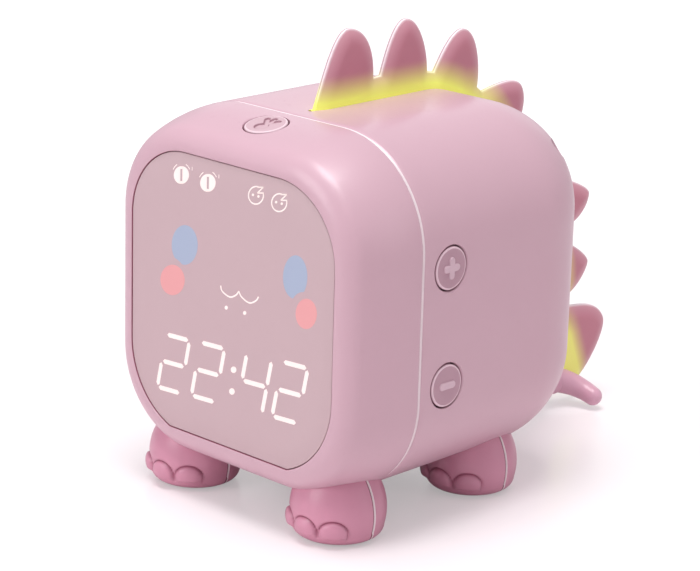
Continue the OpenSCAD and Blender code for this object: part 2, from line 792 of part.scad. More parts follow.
module shell_screws() color("silver") at_screws() {
    translate([0, 0, -screw_seat_y - 2]) cylinder(r = 2.7, h = 2, $fn = 24);
    translate([0, 0, -screw_seat_y]) cylinder(r = 1.05, h = 26, $fn = 24);
}

// ---------------------------------------------------------------- wires

// A wire of eight sides that bends at each of its points.
module wire(points, r) {
    last = len(points) - 1;
    lofted([for (k = [0:last])
        let (a = points[max(0, k - 1)], b = points[min(last, k + 1)])
        round_ring(points[k], (b - a) / norm(b - a), r, 8)]);
}

module battery_wires() {
    color("red") wire([[25.7, 13, 25], [27, 13, 29], [16, 10, 36], [6, 4, 42], [1, 0.4, 42]], 0.6);
    color("black") wire([[25.7, 13, 19], [28.6, 10.5, 26.5], [22, 7, 33], [10, 4, 38], [5, 0.4, 38]], 0.6);
}

module speaker_wires() {
    color("red") wire([[9.7, -10, 17], [13, -10, 23], [9, -10, 33], [3, -6.6, 40.3]], 0.5);
    color("black") wire([[9.7, -6, 17], [15, -7, 23], [12, -8, 34], [6, -6.6, 40.3]], 0.5);
}

module display_ribbon() color("whitesmoke") {
    translate([-8, board_t - display_board_front, 76]) cube([16, 12, 0.3]);
    translate([-8, board_t + 11.7 - display_board_front, 76.3]) cube([16, 0.3, 7.7]);
    translate([-8, board_t + 11.7 - display_board_front, 84]) cube([16, 21.2, 0.3]);
}

// ---------------------------------------------------------------- drawing

placed() front_shell();
placed() display_window();
placed() face_film();
placed() segment_mask();
placed() segment_bars();
placed() display_board();
placed() display_leds();
placed() rear_shell();
placed() crest();
placed() tail_fin();
placed() tail();
placed() front_right_foot();
placed() front_left_foot();
placed() rear_right_foot();
placed() rear_left_foot();
placed() front_right_heel();
placed() front_left_heel();
placed() rear_right_heel();
placed() rear_left_heel();
placed() foot_pads();
placed() snooze_button();
placed() plus_button();
placed() minus_button();
placed() mode_button();
placed() set_button();
placed() snooze_plunger();
placed() plus_plunger();
placed() minus_plunger();
placed() mode_plunger();
placed() set_plunger();
placed() tact_switches();
placed() top_switch_board();
placed() right_switch_board();
placed() left_switch_board();
placed() main_board();
placed() main_board_chips();
placed() capacitors();
placed() crest_light_board();
placed() crest_leds();
placed() tail_light_board();
placed() speaker_frame();
placed() speaker_magnet();
placed() speaker_cone();
placed() battery_cell();
placed() battery_cradle();
placed() usb_inlet();
placed() usb_board();
placed() shell_screws();
placed() board_screws();
placed() battery_wires();
placed() speaker_wires();
placed() display_ribbon();
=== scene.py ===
"""A child's alarm clock shaped like a small dinosaur, with a glowing crest.

Pieces are drawn in millimetres, with y = 0 at the middle of the body and z = 0 on the table. piece() moves
them to the frame.
"""

import bpy
import bmesh
import math
import numpy as np
from mathutils import Matrix, Vector


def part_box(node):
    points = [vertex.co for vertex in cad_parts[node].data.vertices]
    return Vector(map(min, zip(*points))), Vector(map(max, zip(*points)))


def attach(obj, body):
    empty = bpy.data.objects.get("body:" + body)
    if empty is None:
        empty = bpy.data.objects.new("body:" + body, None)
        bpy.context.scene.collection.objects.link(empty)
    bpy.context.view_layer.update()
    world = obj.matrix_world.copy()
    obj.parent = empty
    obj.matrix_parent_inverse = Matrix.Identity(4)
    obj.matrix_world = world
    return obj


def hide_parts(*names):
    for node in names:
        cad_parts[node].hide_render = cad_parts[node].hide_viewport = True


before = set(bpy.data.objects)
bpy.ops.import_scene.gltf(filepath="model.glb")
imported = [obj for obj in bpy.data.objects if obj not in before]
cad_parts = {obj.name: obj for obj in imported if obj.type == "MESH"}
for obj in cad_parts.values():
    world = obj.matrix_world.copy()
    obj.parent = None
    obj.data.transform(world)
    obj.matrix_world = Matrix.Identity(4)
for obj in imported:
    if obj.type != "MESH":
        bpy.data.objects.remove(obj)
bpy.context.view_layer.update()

MM = 0.001
half_d = 50
middle_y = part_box("front_shell")[0].y + half_d * MM

# ---- measures shared with the part's source
half_w, half_h, mid_z = 47.5, 48.25, 58
body_top = mid_z + half_h
corner_r, rear_r, wall = 29, 28.5, 2
seam_s = 27.7
front_inset, front_small_r = 9.8, 7
front_turn = 2 * math.atan((front_inset - front_small_r) / (half_d - seam_s - front_small_r))
front_big_r = front_small_r + (half_d - seam_s - front_small_r) / math.sin(front_turn)
last_turn = math.radians(84)
window_half_w, window_half_h, window_top_r, window_low_r, window_low_cut = 37.65, 38.2, 20.2, 23, 1.3
window_face = half_d - 0.2
cap_r = 5.7
hole_r = cap_r + 0.45
side_button_y, upper_button_z, lower_button_z = -seam_s + 10.4, 73.2, 41.7
top_turn = math.asin(9.9 / front_big_r)
top_button = (0, -seam_s - 9.9, body_top - front_big_r * (1 - math.cos(top_turn)))
foot_x, foot_r, foot_seam = 27.35, 12.8, 0.4
foot_ys = {"front": -35.45, "rear": 16.75}
crest_half = 1.8

CORNER_STEPS = 24
SIDE_STEPS = 16


# ---- shaping helpers
def limited(value):
    """The value kept between 0 and 1."""
    return min(1.0, max(0.0, value))


def circle_turns(steps):
    return np.linspace(0, 2 * math.pi, steps, endpoint=False)


def warp(rows, round_rows=True):
    """A grid bent onto rows of points: round_rows closes each row, and a row in one place becomes a pole."""
    rows = np.asarray(rows, float)
    if round_rows:
        rows = np.concatenate([rows, rows[:, :1]], axis=1)
    tall, wide = rows.shape[:2]
    bm = bmesh.new()
    bmesh.ops.create_grid(bm, x_segments=wide - 1, y_segments=tall - 1, size=1)
    for vertex, place in zip(bm.verts, rows.reshape(-1, 3)):
        vertex.co = place
    bmesh.ops.remove_doubles(bm, verts=bm.verts, dist=0.0008)
    bmesh.ops.dissolve_degenerate(bm, edges=bm.edges, dist=0.0002)
    return bm


def slab(points, low, high):
    """A flat plate with this (x, z) outline, between two distances ahead of the body's middle."""
    bm = bmesh.new()
    ring = bmesh.ops.create_circle(bm, cap_ends=True, segments=len(points), radius=1)["verts"]
    for vertex, (x, z) in zip(ring, points):
        vertex.co = (x, -low, z)
    grown = bmesh.ops.extrude_face_region(bm, geom=list(bm.faces))["geom"]
    front = [g for g in grown if isinstance(g, bmesh.types.BMVert)]
    bmesh.ops.translate(bm, verts=front, vec=(0, low - high, 0))
    return bm


def turned(profile, steps, place=None):
    """A profile of (radius, height) turned about the z axis."""
    turn = circle_turns(steps)
    rows = [np.stack([r * np.cos(turn), r * np.sin(turn), np.full(steps, h)], axis=1) for r, h in profile]
    bm = warp(rows)
    if place is not None:
        bm.transform(place)
    return bm


def in_scene(name, data):
    """A new object with this data."""
    obj = bpy.data.objects.new(name, data)
    bpy.context.scene.collection.objects.link(obj)
    return obj


def joined(parts):
    """Several shapes as one."""
    whole = bmesh.new()
    for part in parts:
        mesh = bpy.data.meshes.new("part")
        bmesh.ops.recalc_face_normals(part, faces=part.faces)
        part.to_mesh(mesh)
        part.free()
        whole.from_mesh(mesh)
        bpy.data.meshes.remove(mesh)
    return whole


def carve(bm, cutters):
    """bm with the cutters taken out of it."""
    holders = []
    for name, shape in (("carved", bm), ("cutter", joined(cutters))):
        bmesh.ops.recalc_face_normals(shape, faces=shape.faces)
        mesh = bpy.data.meshes.new(name)
        shape.to_mesh(mesh)
        shape.free()
        holders.append(in_scene(name, mesh))
    cut = holders[0].modifiers.new("cut", "BOOLEAN")
    cut.operation = "DIFFERENCE"
    cut.solver = "EXACT"
    cut.object = holders[1]
    bpy.context.view_layer.update()
    result = bmesh.new()
    result.from_object(holders[0], bpy.context.evaluated_depsgraph_get())
    for holder in holders:
        mesh = holder.data
        bpy.data.objects.remove(holder)
        bpy.data.meshes.remove(mesh)
    return result


def piece(name, bm, paint, nodes=(), body="casing", sharp=35, fields=None):
    """Makes a shape a finished object, in metres and in place; fields are worked out at each vertex."""
    bmesh.ops.recalc_face_normals(bm, faces=bm.faces)
    for face in bm.faces:
        face.smooth = True
    for edge in bm.edges:
        edge.smooth = edge.calc_face_angle(0) < math.radians(sharp)
    values = {key: [field(*vertex.co) for vertex in bm.verts] for key, field in (fields or {}).items()}
    bm.transform(Matrix.Translation((0, middle_y, 0)) @ Matrix.Scale(MM, 4))
    mesh = bpy.data.meshes.new(name)
    bm.to_mesh(mesh)
    bm.free()
    for key, numbers in values.items():
        mesh.attributes.new(key, "FLOAT", "POINT").data.foreach_set("value", numbers)
    mesh.materials.append(paint)
    obj = in_scene(name, mesh)
    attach(obj, body)
    if nodes:
        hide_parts(*nodes)
    return obj


# ---- outlines
def rounded_ring(width, height, radii, low_angle=90):
    """Points round a rounded outline; radii are (upper, lower), and low_angle cuts the lower arcs short."""
    upper, lower = radii
    sweep = math.radians(low_angle)
    drop = lower * (1 - math.sin(sweep))
    corners = [
        (width - upper, height - upper, upper, 0, math.pi / 2),
        (upper - width, height - upper, upper, math.pi / 2, math.pi),
        (lower - width, lower - height - drop, lower, math.pi, math.pi + sweep),
        (width - lower, lower - height - drop, lower, 2 * math.pi - sweep, 2 * math.pi),
    ]
    points = []
    for k, (x, z, r, start, end) in enumerate(corners):
        turn = np.linspace(start, end, CORNER_STEPS + 1)
        arc = np.stack([x + r * np.cos(turn), z + r * np.sin(turn)], axis=1)
        nx, nz, nr, nstart = corners[(k + 1) % 4][:4]
        after = np.array([nx + nr * math.cos(nstart), nz + nr * math.sin(nstart)])
        share = np.linspace(0, 1, SIDE_STEPS + 1)[1:-1, None]
        points += [arc, arc[-1] * (1 - share) + after * share]
    return np.concatenate(points)


def ring_at(points, s):
    """An outline of (x, z) about the body's middle as 3-D points, s ahead of it."""
    return np.stack([points[:, 0], np.full(len(points), -s), points[:, 1] + mid_z], axis=1)


def body_ring(inset, s):
    return ring_at(rounded_ring(half_w - inset, half_h - inset, (corner_r - inset, corner_r - inset)), s)


def window_ring(grow, s):
    low_r = window_low_r + grow
    angle = math.degrees(math.asin((low_r - window_low_cut) / low_r))
    radii = (window_top_r + grow, low_r)
    return ring_at(rounded_ring(window_half_w + grow, window_half_h + grow, radii, angle), s)


def front_profile(inset, steps):
    """(inset, distance ahead) up the front shell's edge, from the seam towards the display."""
    big_x = front_big_r
    small_x = big_x - (front_big_r - front_small_r) * math.cos(front_turn)
    small_s = seam_s + (front_big_r - front_small_r) * math.sin(front_turn)
    big_turns = np.linspace(0, front_turn, steps)
    small_turns = np.linspace(front_turn, last_turn, steps)[1:]
    arcs = [
        (big_x, seam_s, front_big_r - inset, big_turns),
        (small_x, small_s, front_small_r - inset, small_turns),
    ]
    return [(x - r * math.cos(turn), s + r * math.sin(turn)) for x, s, r, turns in arcs for turn in turns]


def inset_at(y):
    """How far the body's outline has drawn in at this depth."""
    s = -y
    if s <= seam_s:
        back = max(0.0, y - (half_d - rear_r))
        return rear_r - math.sqrt(max(0.0, rear_r**2 - back**2))
    if s <= seam_s + front_big_r * math.sin(front_turn):
        return front_big_r - math.sqrt(front_big_r**2 - (s - seam_s) ** 2)
    rise = s - (half_d - front_small_r)
    return front_inset - math.sqrt(max(0.0, front_small_r**2 - rise**2))


def underside(x, y):
    """Height of the body's underside above a place on the table."""
    inset = inset_at(y)
    out = max(0.0, abs(x) - (half_w - corner_r))
    r = corner_r - inset
    return mid_z - (half_h - corner_r) - math.sqrt(max(0.0, r * r - out * out))


def back_at(x, z):
    """Depth of the rear shell's surface behind the body's middle at this place in its outline."""
    dx = max(0.0, abs(x) - (half_w - corner_r))
    dz = max(0.0, abs(z - mid_z) - (half_h - corner_r))
    inside = min(half_w - abs(x), half_h - abs(z - mid_z)) if dx * dz == 0 else corner_r - math.hypot(dx, dz)
    arc = rear_r - min(rear_r, max(0.0, inside))
    return half_d - rear_r + math.sqrt(rear_r**2 - arc**2)


# ---- materials
def srgb(red, green, blue):
    """An 8-bit display colour as a linear one."""
    shares = (c / 255 for c in (red, green, blue))
    return tuple(c / 12.92 if c < 0.0404 else ((c + 0.055) / 1.055) ** 2.4 for c in shares)


class Value:
    """A shader value that takes part in Python sums."""

    def __init__(self, paint, socket):
        self.paint = paint
        self.socket = socket

    def maths(self, operation, a, b=0.0):
        return self.paint.node("ShaderNodeMath", {"operation": operation}, {0: a, 1: b})

    def __add__(self, other):
        return self.maths("ADD", self, other)

    __radd__ = __add__

    def __sub__(self, other):
        return self.maths("SUBTRACT", self, other)

    def __rsub__(self, other):
        return self.maths("SUBTRACT", other, self)

    def __mul__(self, other):
        return self.maths("MULTIPLY", self, other)

    __rmul__ = __mul__

    def __truediv__(self, other):
        return self.maths("DIVIDE", self, other)

    def __rtruediv__(self, other):
        return self.maths("DIVIDE", other, self)

    def __pow__(self, other):
        return self.maths("POWER", self, other)

    def __rpow__(self, other):
        return self.maths("POWER", other, self)

    def __abs__(self):
        return self.maths("ABSOLUTE", self)

    def clamp(self, low=0.0, high=1.0):
        return self.maths("MINIMUM", self.maths("MAXIMUM", self, low), high)

    def over(self, low, high):
        """0 below low, 1 above high and straight between."""
        return ((self - low) / (high - low)).clamp()


class Paint:
    """A material or world: its nodes are made through node(), and its own shader is set through set()."""

    def __init__(self, owner, shader="Principled BSDF"):
        self.owner = owner
        owner.use_nodes = True
        self.tree = owner.node_tree
        self.shader = self.tree.nodes[shader]
        self.place = self.node("ShaderNodeTexCoord", {}, {}, "Object")

    def node(self, kind, settings, sockets, output=0):
        made = self.tree.nodes.new(kind)
        for key, value in settings.items():
            setattr(made, key, value)
        for key, value in sockets.items():
            self.link(made.inputs[key], value)
        return Value(self, made.outputs[output])

    def link(self, socket, value):
        if isinstance(value, Value):
            self.tree.links.new(value.socket, socket)
        else:
            socket.default_value = value

    def noise(self, scale, detail=2.0):
        return self.node("ShaderNodeTexNoise", {}, {"Vector": self.place, "Scale": scale, "Detail": detail})

    def axis(self, name):
        return self.node("ShaderNodeSeparateXYZ", {}, {0: self.place}, name)

    def attribute(self, name):
        return self.node("ShaderNodeAttribute", {"attribute_name": name}, {}, "Fac")

    def mix(self, share, a, b):
        """A colour from a to b; 6 and 7 are a Mix node's colour inputs, and 2 is its colour output."""
        tints = {6: a, 7: b}
        sockets = {key: tint if isinstance(tint, Value) else (*tint, 1) for key, tint in tints.items()}
        return self.node("ShaderNodeMix", {"data_type": "RGBA"}, {0: share, **sockets}, 2)

    def set(self, **sockets):
        for key, value in sockets.items():
            name = key.replace("_", " ").title().replace("Ior", "IOR")
            self.link(self.shader.inputs[name], value)

    def cover(self, share, other, output):
        """Mixes another shader over its own by share, and leads both to the output."""
        own = Value(self, self.shader.outputs[0])
        mixed = self.node("ShaderNodeMixShader", {}, {0: share, 1: own, 2: other})
        self.link(self.tree.nodes[output].inputs["Surface"], mixed)


def finish_of(name, tint, worn, rough=0.4, rough_span=0.1, grain=1800, bump=0.05, mottle=90, **uniform):
    """A moulded or metal finish: mottled colour, uneven roughness, fine grain and faint scuffs."""
    paint = Paint(bpy.data.materials.new(name))
    patches = paint.noise(mottle, 3.0)
    scuffs = paint.noise(mottle * 6, 5.0).over(0.6, 0.75)
    paint.tint = paint.mix((patches * 0.35 + scuffs * 0.2).clamp(), tint, worn)
    relief = {"Strength": bump, "Distance": 0.0002, "Height": paint.noise(grain)}
    paint.set(
        base_color=paint.tint,
        roughness=(rough + (patches - 0.5) * rough_span + scuffs * rough_span).clamp(0.05, 1.0),
        normal=paint.node("ShaderNodeBump", {}, relief),
        **uniform,
    )
    return paint


def simple(name, tint, worn, **more):
    return finish_of(name, tint, worn, **more).owner


# painted shadow ahead of each seam, and a painted highlight on the edge behind it
SEAM_SHADOW, SEAM_HIGHLIGHT = srgb(120, 52, 72), srgb(248, 234, 238)
# metres behind a seam at which a band starts, is full, begins to fade and has faded
SHADOW_BAND = (-0.00055, -0.0004, -0.00006, 0.00002)
HIGHLIGHT_BAND = (-0.00002, 0.00006, 0.0004, 0.0005)


def band(distance, start, full, fade, gone):
    return distance.over(start, full) * (1 - distance.over(fade, gone))


def with_seam_shading(paint, edges):
    """Paints a shadow ahead of each seam and a highlight on the edge behind it; edges are their depths."""
    for edge in edges:
        behind = paint.axis("Y") - (middle_y + edge * MM)
        shadow = band(behind, *SHADOW_BAND)
        bright = band(behind, *HIGHLIGHT_BAND)
        paint.tint = paint.mix(bright, paint.mix(shadow, paint.tint, SEAM_SHADOW), SEAM_HIGHLIGHT)
    paint.set(base_color=paint.tint)
    return paint


def marked(paint, **tints):
    """Lets the attributes of these names tint the paint, as painted shade and painted highlights."""
    for key, tint in tints.items():
        paint.tint = paint.mix(paint.attribute(key).clamp(), paint.tint, tint)
    paint.set(base_color=paint.tint)
    return paint


def body_paint(name, tint, worn, rough, seams):
    paint = finish_of(name, tint, worn, rough=rough, bump=0.03, coat_weight=0.25, coat_roughness=0.22)
    return with_seam_shading(paint, seams)


foot_seams = [y + foot_seam for y in foot_ys.values()]
shell_paint = body_paint("shell_plastic", srgb(204, 167, 180), srgb(198, 160, 174), 0.38, [-seam_s])
# painted shade on the walls of the gap round the display's window
shell_paint = marked(shell_paint, gap=srgb(150, 84, 104)).owner
foot_paint = body_paint("foot_plastic", srgb(208, 143, 166), srgb(201, 135, 159), 0.4, foot_seams)
# painted shade in the grooves round the toes
foot_paint = marked(foot_paint, groove=srgb(160, 88, 112)).owner
tail_tints = srgb(216, 168, 188), srgb(209, 160, 181)
tail_paint = simple("tail_plastic", *tail_tints, rough=0.38, bump=0.03, coat_weight=0.2)
# painted highlights on the caps' rims and raised marks, and painted shade along the sunk footprint's edge
button_paint = finish_of("button_plastic", srgb(184, 146, 160), srgb(176, 138, 152), rough=0.42, bump=0.04)
button_paint = marked(button_paint, rim=srgb(226, 198, 208), mark=srgb(210, 180, 192)).owner
snooze_paint = finish_of("snooze_plastic", srgb(200, 168, 178), srgb(192, 160, 170), rough=0.42, bump=0.04)
snooze_paint = marked(snooze_paint, rim=srgb(226, 200, 209), mark=srgb(152, 108, 122)).owner
window_paint = simple("window_plastic", srgb(196, 170, 175), srgb(193, 166, 172), rough=0.5, bump=0.02)


# metres from the plate's middle at which the painted highlight line and the painted shade line on its edge
# begin to fade and have faded
HIGHLIGHT_LINE = (0.00045, 0.0008)
SHADE_LINE = (0.0001, 0.00022)


def crest_paint():
    """Frosted plastic, lit where the glow attribute says, painted paler towards its fins' edges, with a
    painted highlight line and a thin painted shade line along its edge.
    """
    fresh, worn = srgb(196, 126, 142), srgb(188, 118, 136)
    paint = finish_of("crest_plastic", fresh, worn, rough=0.42, bump=0.05)
    glow, edge = paint.attribute("glow").clamp(), paint.attribute("edge")
    off = abs(paint.axis("X"))
    pale, dark = 1 - off.over(*HIGHLIGHT_LINE), 1 - off.over(*SHADE_LINE)
    body = paint.mix(paint.noise(90, 3.0) * 0.35, fresh, worn)
    # painted highlight: paler towards the fins' outer edges
    body = paint.mix((edge**1.5) * 0.5, body, srgb(228, 182, 194))
    rim = edge.over(0.64, 0.84)
    # a painted highlight line along the plate's edge, then a thin painted shade line in its middle
    edge_highlighted = paint.mix(pale * rim, body, srgb(244, 226, 232))
    edge_shaded = paint.mix(dark * rim * 0.8, edge_highlighted, srgb(150, 110, 122))
    lit = paint.mix(glow, edge_shaded, srgb(222, 226, 120))
    glowing = paint.mix(glow, (0, 0, 0), srgb(216, 226, 40))
    paint.set(base_color=lit, emission_color=glowing, emission_strength=0.35)
    return paint.owner


def lit_paint(name, tint, strength):
    """A mark lit from behind the display."""
    paint = finish_of(name, tint, tint, rough=0.5, bump=0.01)
    dimmer = tuple(c * 0.9 for c in tint)
    paint.set(emission_color=paint.mix(paint.noise(400) * 0.3, tint, dimmer), emission_strength=strength)
    return paint.owner


# ---- shells
groove_deep = 0.9


def button_hole(place):
    """A cutter for a button's round hole with a softened rim."""
    deep, over, mouth_r = 5, 4, hole_r + 0.42
    rim = [(hole_r, -0.4), (hole_r + 0.1, -0.16), (mouth_r, 0.08)]
    return turned([(0, -deep), (hole_r, -deep), *rim, (mouth_r, over), (0, over)], 96, place)


def drill(r, long, steps, place):
    """A plain round cutter."""
    return turned([(0, 0), (r, 0), (r, long), (0, long)], steps, place)


def on_side(side, z):
    return Matrix.Translation((side * half_w, side_button_y, z)) @ Matrix.Rotation(side * math.pi / 2, 4, "Y")


def on_top():
    return Matrix.Translation(top_button) @ Matrix.Rotation(top_turn, 4, "X")


def front_shell():
    # a groove, lower than the skin, runs along the seam
    groove = [(groove_deep, 0.02), (groove_deep, 0.42), (0.12, 0.48), (0.02, 0.7)]
    rows = [body_ring(inset, seam_s + ahead) for inset, ahead in groove]
    rows += [body_ring(inset, s) for inset, s in front_profile(0, 26)[2:]]
    lip = [(0.42, 0), (0.24, 0.04), (0.14, 0.16), (0.1, 0.4), (0.1, wall)]
    rows += [window_ring(grow, half_d - deep) for grow, deep in lip]
    rows += [body_ring(inset, s) for inset, s in front_profile(wall, 12)[::-1]]
    rows.append(rows[0])
    return carve(warp(rows), [button_hole(on_top())])


def power_slot():
    """A cutter for the power inlet's slot in the back, with round corners."""
    x, z = -30, 46
    w, h, r = 9.4, 3.6, 1.4
    turn = circle_turns(48)
    across = np.sign(np.cos(turn)) * (w / 2 - r) + r * np.cos(turn) + x
    up = np.sign(np.sin(turn)) * (h / 2 - r) + r * np.sin(turn) + z
    depths = (half_d - 10, half_d + 5)
    rows = [np.stack([across, np.full(48, y), up], axis=1) for y in depths]
    ends = [np.tile([[x, y, z]], (48, 1)) for y in depths]
    return warp([ends[0], *rows, ends[1]])


def screw_wells():
    """Cutters for the four screws that come in from behind."""
    out, rise, start, long = 35, 35.5, 5, 55
    backwards = Matrix.Rotation(-math.pi / 2, 4, "X")
    spots = [(x, start, mid_z + z) for x in (-out, out) for z in (-rise, rise)]
    return [drill(3, long, 48, Matrix.Translation(spot) @ backwards) for spot in spots]


def grille_holes():
    """Cutters for the speaker's holes: one, and three rings round it."""
    pitch, middle, low, long = 4, -8, 5, 9
    holes = []
    for ring in range(4):
        for k in range(max(1, 6 * ring)):
            angle = math.pi / 3 * k / max(1, ring)
            spot = (pitch * ring * math.cos(angle), pitch * ring * math.sin(angle) + middle, low)
            holes.append(drill(1, long, 20, Matrix.Translation(spot)))
    return holes


def rear_arc(r, turns):
    """Rings round the rear shell's rounded back, r from the arc's centre."""
    return [body_ring(rear_r - r * math.cos(a), rear_r - half_d - r * math.sin(a)) for a in turns]


def rear_shell():
    # the edge at the seam is a chamfer that faces forward
    chamfer = [(groove_deep, 0), (0.62, 0.02), (0.07, 0.62), (0, 0.85)]
    rows = [body_ring(inset, seam_s - behind) for inset, behind in chamfer]
    rows += [body_ring(0, s) for s in np.linspace(seam_s - 3, rear_r - half_d, 16)]
    rows += rear_arc(rear_r, np.linspace(0, math.pi / 2, 30)[1:-1])
    flat = body_ring(rear_r, -half_d)
    centre = np.array([0, half_d, mid_z])
    rows += [centre + (flat - centre) * share for share in (1, 0.7, 0.35, 0)]
    inside = centre - np.array([0, wall, 0])
    inner = body_ring(rear_r, wall - half_d)
    rows += [inside + (inner - inside) * share for share in (0, 0.5, 1)]
    rows += rear_arc(rear_r - wall, np.linspace(math.pi / 2, 0, 12)[1:])
    rows += [body_ring(wall, seam_s), rows[0]]
    holes = [button_hole(on_side(side, z)) for side in (-1, 1) for z in (lower_button_z, upper_button_z)]
    return carve(warp(rows), holes + screw_wells() + [power_slot()] + grille_holes())


# ---- display
def display_window():
    inner = half_d - wall
    edge = [(-0.05, inner), (-0.05, window_face - 0.25), (-0.12, window_face - 0.08), (-0.3, window_face)]
    profile = [(-20, inner), (-6, inner), *edge] + [(grow, window_face) for grow in (-6, -14, -20)]
    bm = warp([window_ring(grow, s) for grow, s in profile])
    bmesh.ops.holes_fill(bm, edges=[e for e in bm.edges if e.is_boundary])
    return bm


slant = 0.2


def oval(x, z, w, h, steps=48):
    """An oval that slants like all the display's marks: its right side is a little higher than its left."""
    turn = circle_turns(steps)
    return np.stack([x + w * np.cos(turn), z + h * np.sin(turn) + slant * w * np.cos(turn)], axis=1)


def slanted(x, z, points):
    """Points about (x, z) with the same slant."""
    points = np.asarray(points, float)
    return np.stack([x + points[:, 0], z + points[:, 1] + slant * points[:, 0]], axis=1)


def bitten(x, z, w, h, bite):
    """An oval whose points inside the bite circle (x, z, r) are pushed out to that circle's edge."""
    points = oval(x, z, w, h, 96)
    away = points - np.array(bite[:2])
    far = np.linalg.norm(away, axis=1, keepdims=True)
    return np.where(far < bite[2], np.array(bite[:2]) + away / far * bite[2], points)


def stroke(path, width):
    """Outline of a line of even width through points, with square ends."""
    path = np.asarray(path, float)
    step = np.gradient(path, axis=0)
    across = np.stack([-step[:, 1], step[:, 0]], axis=1) / np.linalg.norm(step, axis=1, keepdims=True)
    return np.concatenate([path + across * width / 2, (path - across * width / 2)[::-1]])


def curve(points, steps=8):
    """A smooth line through points."""
    points = np.asarray(points, float)
    ends = np.concatenate([[2 * points[0] - points[1]], points, [2 * points[-1] - points[-2]]])
    line = []
    for a, b, c, d in zip(ends, ends[1:], ends[2:], ends[3:]):
        for t in np.linspace(0, 1, steps, endpoint=False):
            bent = (2 * a - 5 * b + 4 * c - d) * t**2 + (3 * b - a - 3 * c + d) * t**3
            line.append(0.5 * (2 * b + (c - a) * t + bent))
    return np.array(line + [points[-1]])


mark_low, mark_high = window_face - 0.1, window_face + 0.03
bar_w, bar_gap, digit_w, digit_h, digit_z = 1.3, 0.5, 10.5, 16.7, 39.2
digit_rise, digit_tilt = 0.076, math.radians(3)
lean = math.tan(math.radians(15))
SEGMENTS = {
    2: ("top", "upper_right", "middle", "lower_left", "low"),
    4: ("upper_left", "upper_right", "middle", "lower_right"),
}


def bar(start, end):
    """One bar of a digit, pointed at both ends."""
    start, end = np.array(start, float), np.array(end, float)
    along = (end - start) / np.linalg.norm(end - start)
    across = np.array([-along[1], along[0]]) * bar_w / 2
    first, last = start + along * bar_gap, end - along * bar_gap
    cut = along * bar_w / 2
    near, far = first + cut, last - cut
    return np.array([first, near + across, far + across, last, far - across, near - across])


def digit(number, x):
    w = (digit_w - bar_w) / 2
    h = (digit_h - bar_w) / 2
    middle = np.array([x, digit_z + digit_rise * x])
    c, v = math.cos(digit_tilt), math.sin(digit_tilt)
    turn = np.array([[c, v], [-v, c]])
    spots = [(i, j) for i in (-1, 1) for j in (-1, 0, 1)]
    corner = {(i, j): middle + np.array([i * w + j * h * lean, j * h]) @ turn for i, j in spots}
    ends = {
        "top": ((-1, 1), (1, 1)),
        "middle": ((-1, 0), (1, 0)),
        "low": ((-1, -1), (1, -1)),
        "upper_left": ((-1, 0), (-1, 1)),
        "upper_right": ((1, 0), (1, 1)),
        "lower_left": ((-1, -1), (-1, 0)),
        "lower_right": ((1, -1), (1, 0)),
    }
    return [bar(corner[a], corner[b]) for a, b in (ends[name] for name in SEGMENTS[number])]


def marks(outlines):
    return joined([slab(outline, mark_low, mark_high) for outline in outlines])


def arc(r_x, r_z, start, end, steps=24):
    turn = np.radians(np.linspace(start, end, steps))
    return np.stack([r_x * np.cos(turn), r_z * np.sin(turn)], axis=1)


def alarm_sign(x, z):
    """A round clock whose hand is the gap between its halves, with two bells and a small stroke beside it."""
    halves = [slanted(x, z, arc(2.9, 2.4, -82, 82) * (side, 1)) for side in (-1, 1)]
    for end in (-1, 1):
        bridge = [(-0.5, 2.36), (0.5, 2.36), (0.5, 1.6), (-0.5, 1.6)]
        halves.append(slanted(x, z, [(across, end * up) for across, up in bridge]))
    bells = [stroke(slanted(x, z, arc(3.6, 3.2, *span)), 0.22) for span in ((28, 62), (118, 152))]
    return halves + bells + [stroke(slanted(x, z, [(4.1, 1.2), (4.1, 1.7), (4.1, 2.2)]), 0.2)]


def sleep_sign(x, z):
    """A round with two dots and a Z at its upper right."""
    ring = [stroke(slanted(x, z, arc(2.7, 2.3, *span, 40)), 0.38) for span in ((70, 220), (220, 375))]
    dots = [oval(x + dx, z - 0.1, 0.42, 0.36, 16) for dx in (-1.1, 0.9)]
    letter = [(0.5, 2.1), (2.6, 2.1), (0.5, 0.6), (2.8, 0.6)]
    strokes = [stroke(slanted(x, z, [a, b]), 0.36) for a, b in zip(letter, letter[1:])]
    return ring + dots + strokes


def icon_marks():
    signs = [alarm_sign(-18.6, 90.0), alarm_sign(-8.5, 89.9), sleep_sign(9.3, 90.2), sleep_sign(17.7, 90.0)]
    return marks([outline for sign in signs for outline in sign])


# ---- crest
def blend_points(a, b, t):
    return a * (1 - t) + b * t


def bend(a, b, c, d, t):
    """A point on the curve from a to d that leaves towards b and arrives from c."""
    ab, bc, cd = blend_points(a, b, t), blend_points(b, c, t), blend_points(c, d, t)
    return blend_points(blend_points(ab, bc, t), blend_points(bc, cd, t), t)


valley_half = 1.4
tail_fin_foot = (86.5, 31.2)
crest_front_y, crest_root = -21.6, 3.5
crest_low_z = 31.8
fin_valleys = np.array([
    [crest_front_y, body_top], [3.2, 112.5], [24.6, 110.9], [45.6, 103.3],
    [59.5, 85], [70.5, 75.5], [83.5, 53.6], [86.5, crest_low_z],
])
fin_tips = np.array([
    [-8, 126.6], [14, 126.6], [38, 121], [63.8, 101.2],
    [69.5, 84.6], [97.3, 64], [98.4, 42.8],
])
fin_blunt = (1, 1, 1, 1, 1, 0.6, 0.5)
tail_from, tail_long, tail_low, tail_rise, tail_power = 36, 45, 30, 54, 1.65
swell = 4.5

COLUMNS = 30
ROWS = 26


def ridge(y):
    """Height of the tail's upper edge at this depth."""
    along = max(0.0, (y - tail_from) / tail_long)
    return tail_low + tail_rise * max(0.0, 1 - along**tail_power) ** (1 / tail_power)


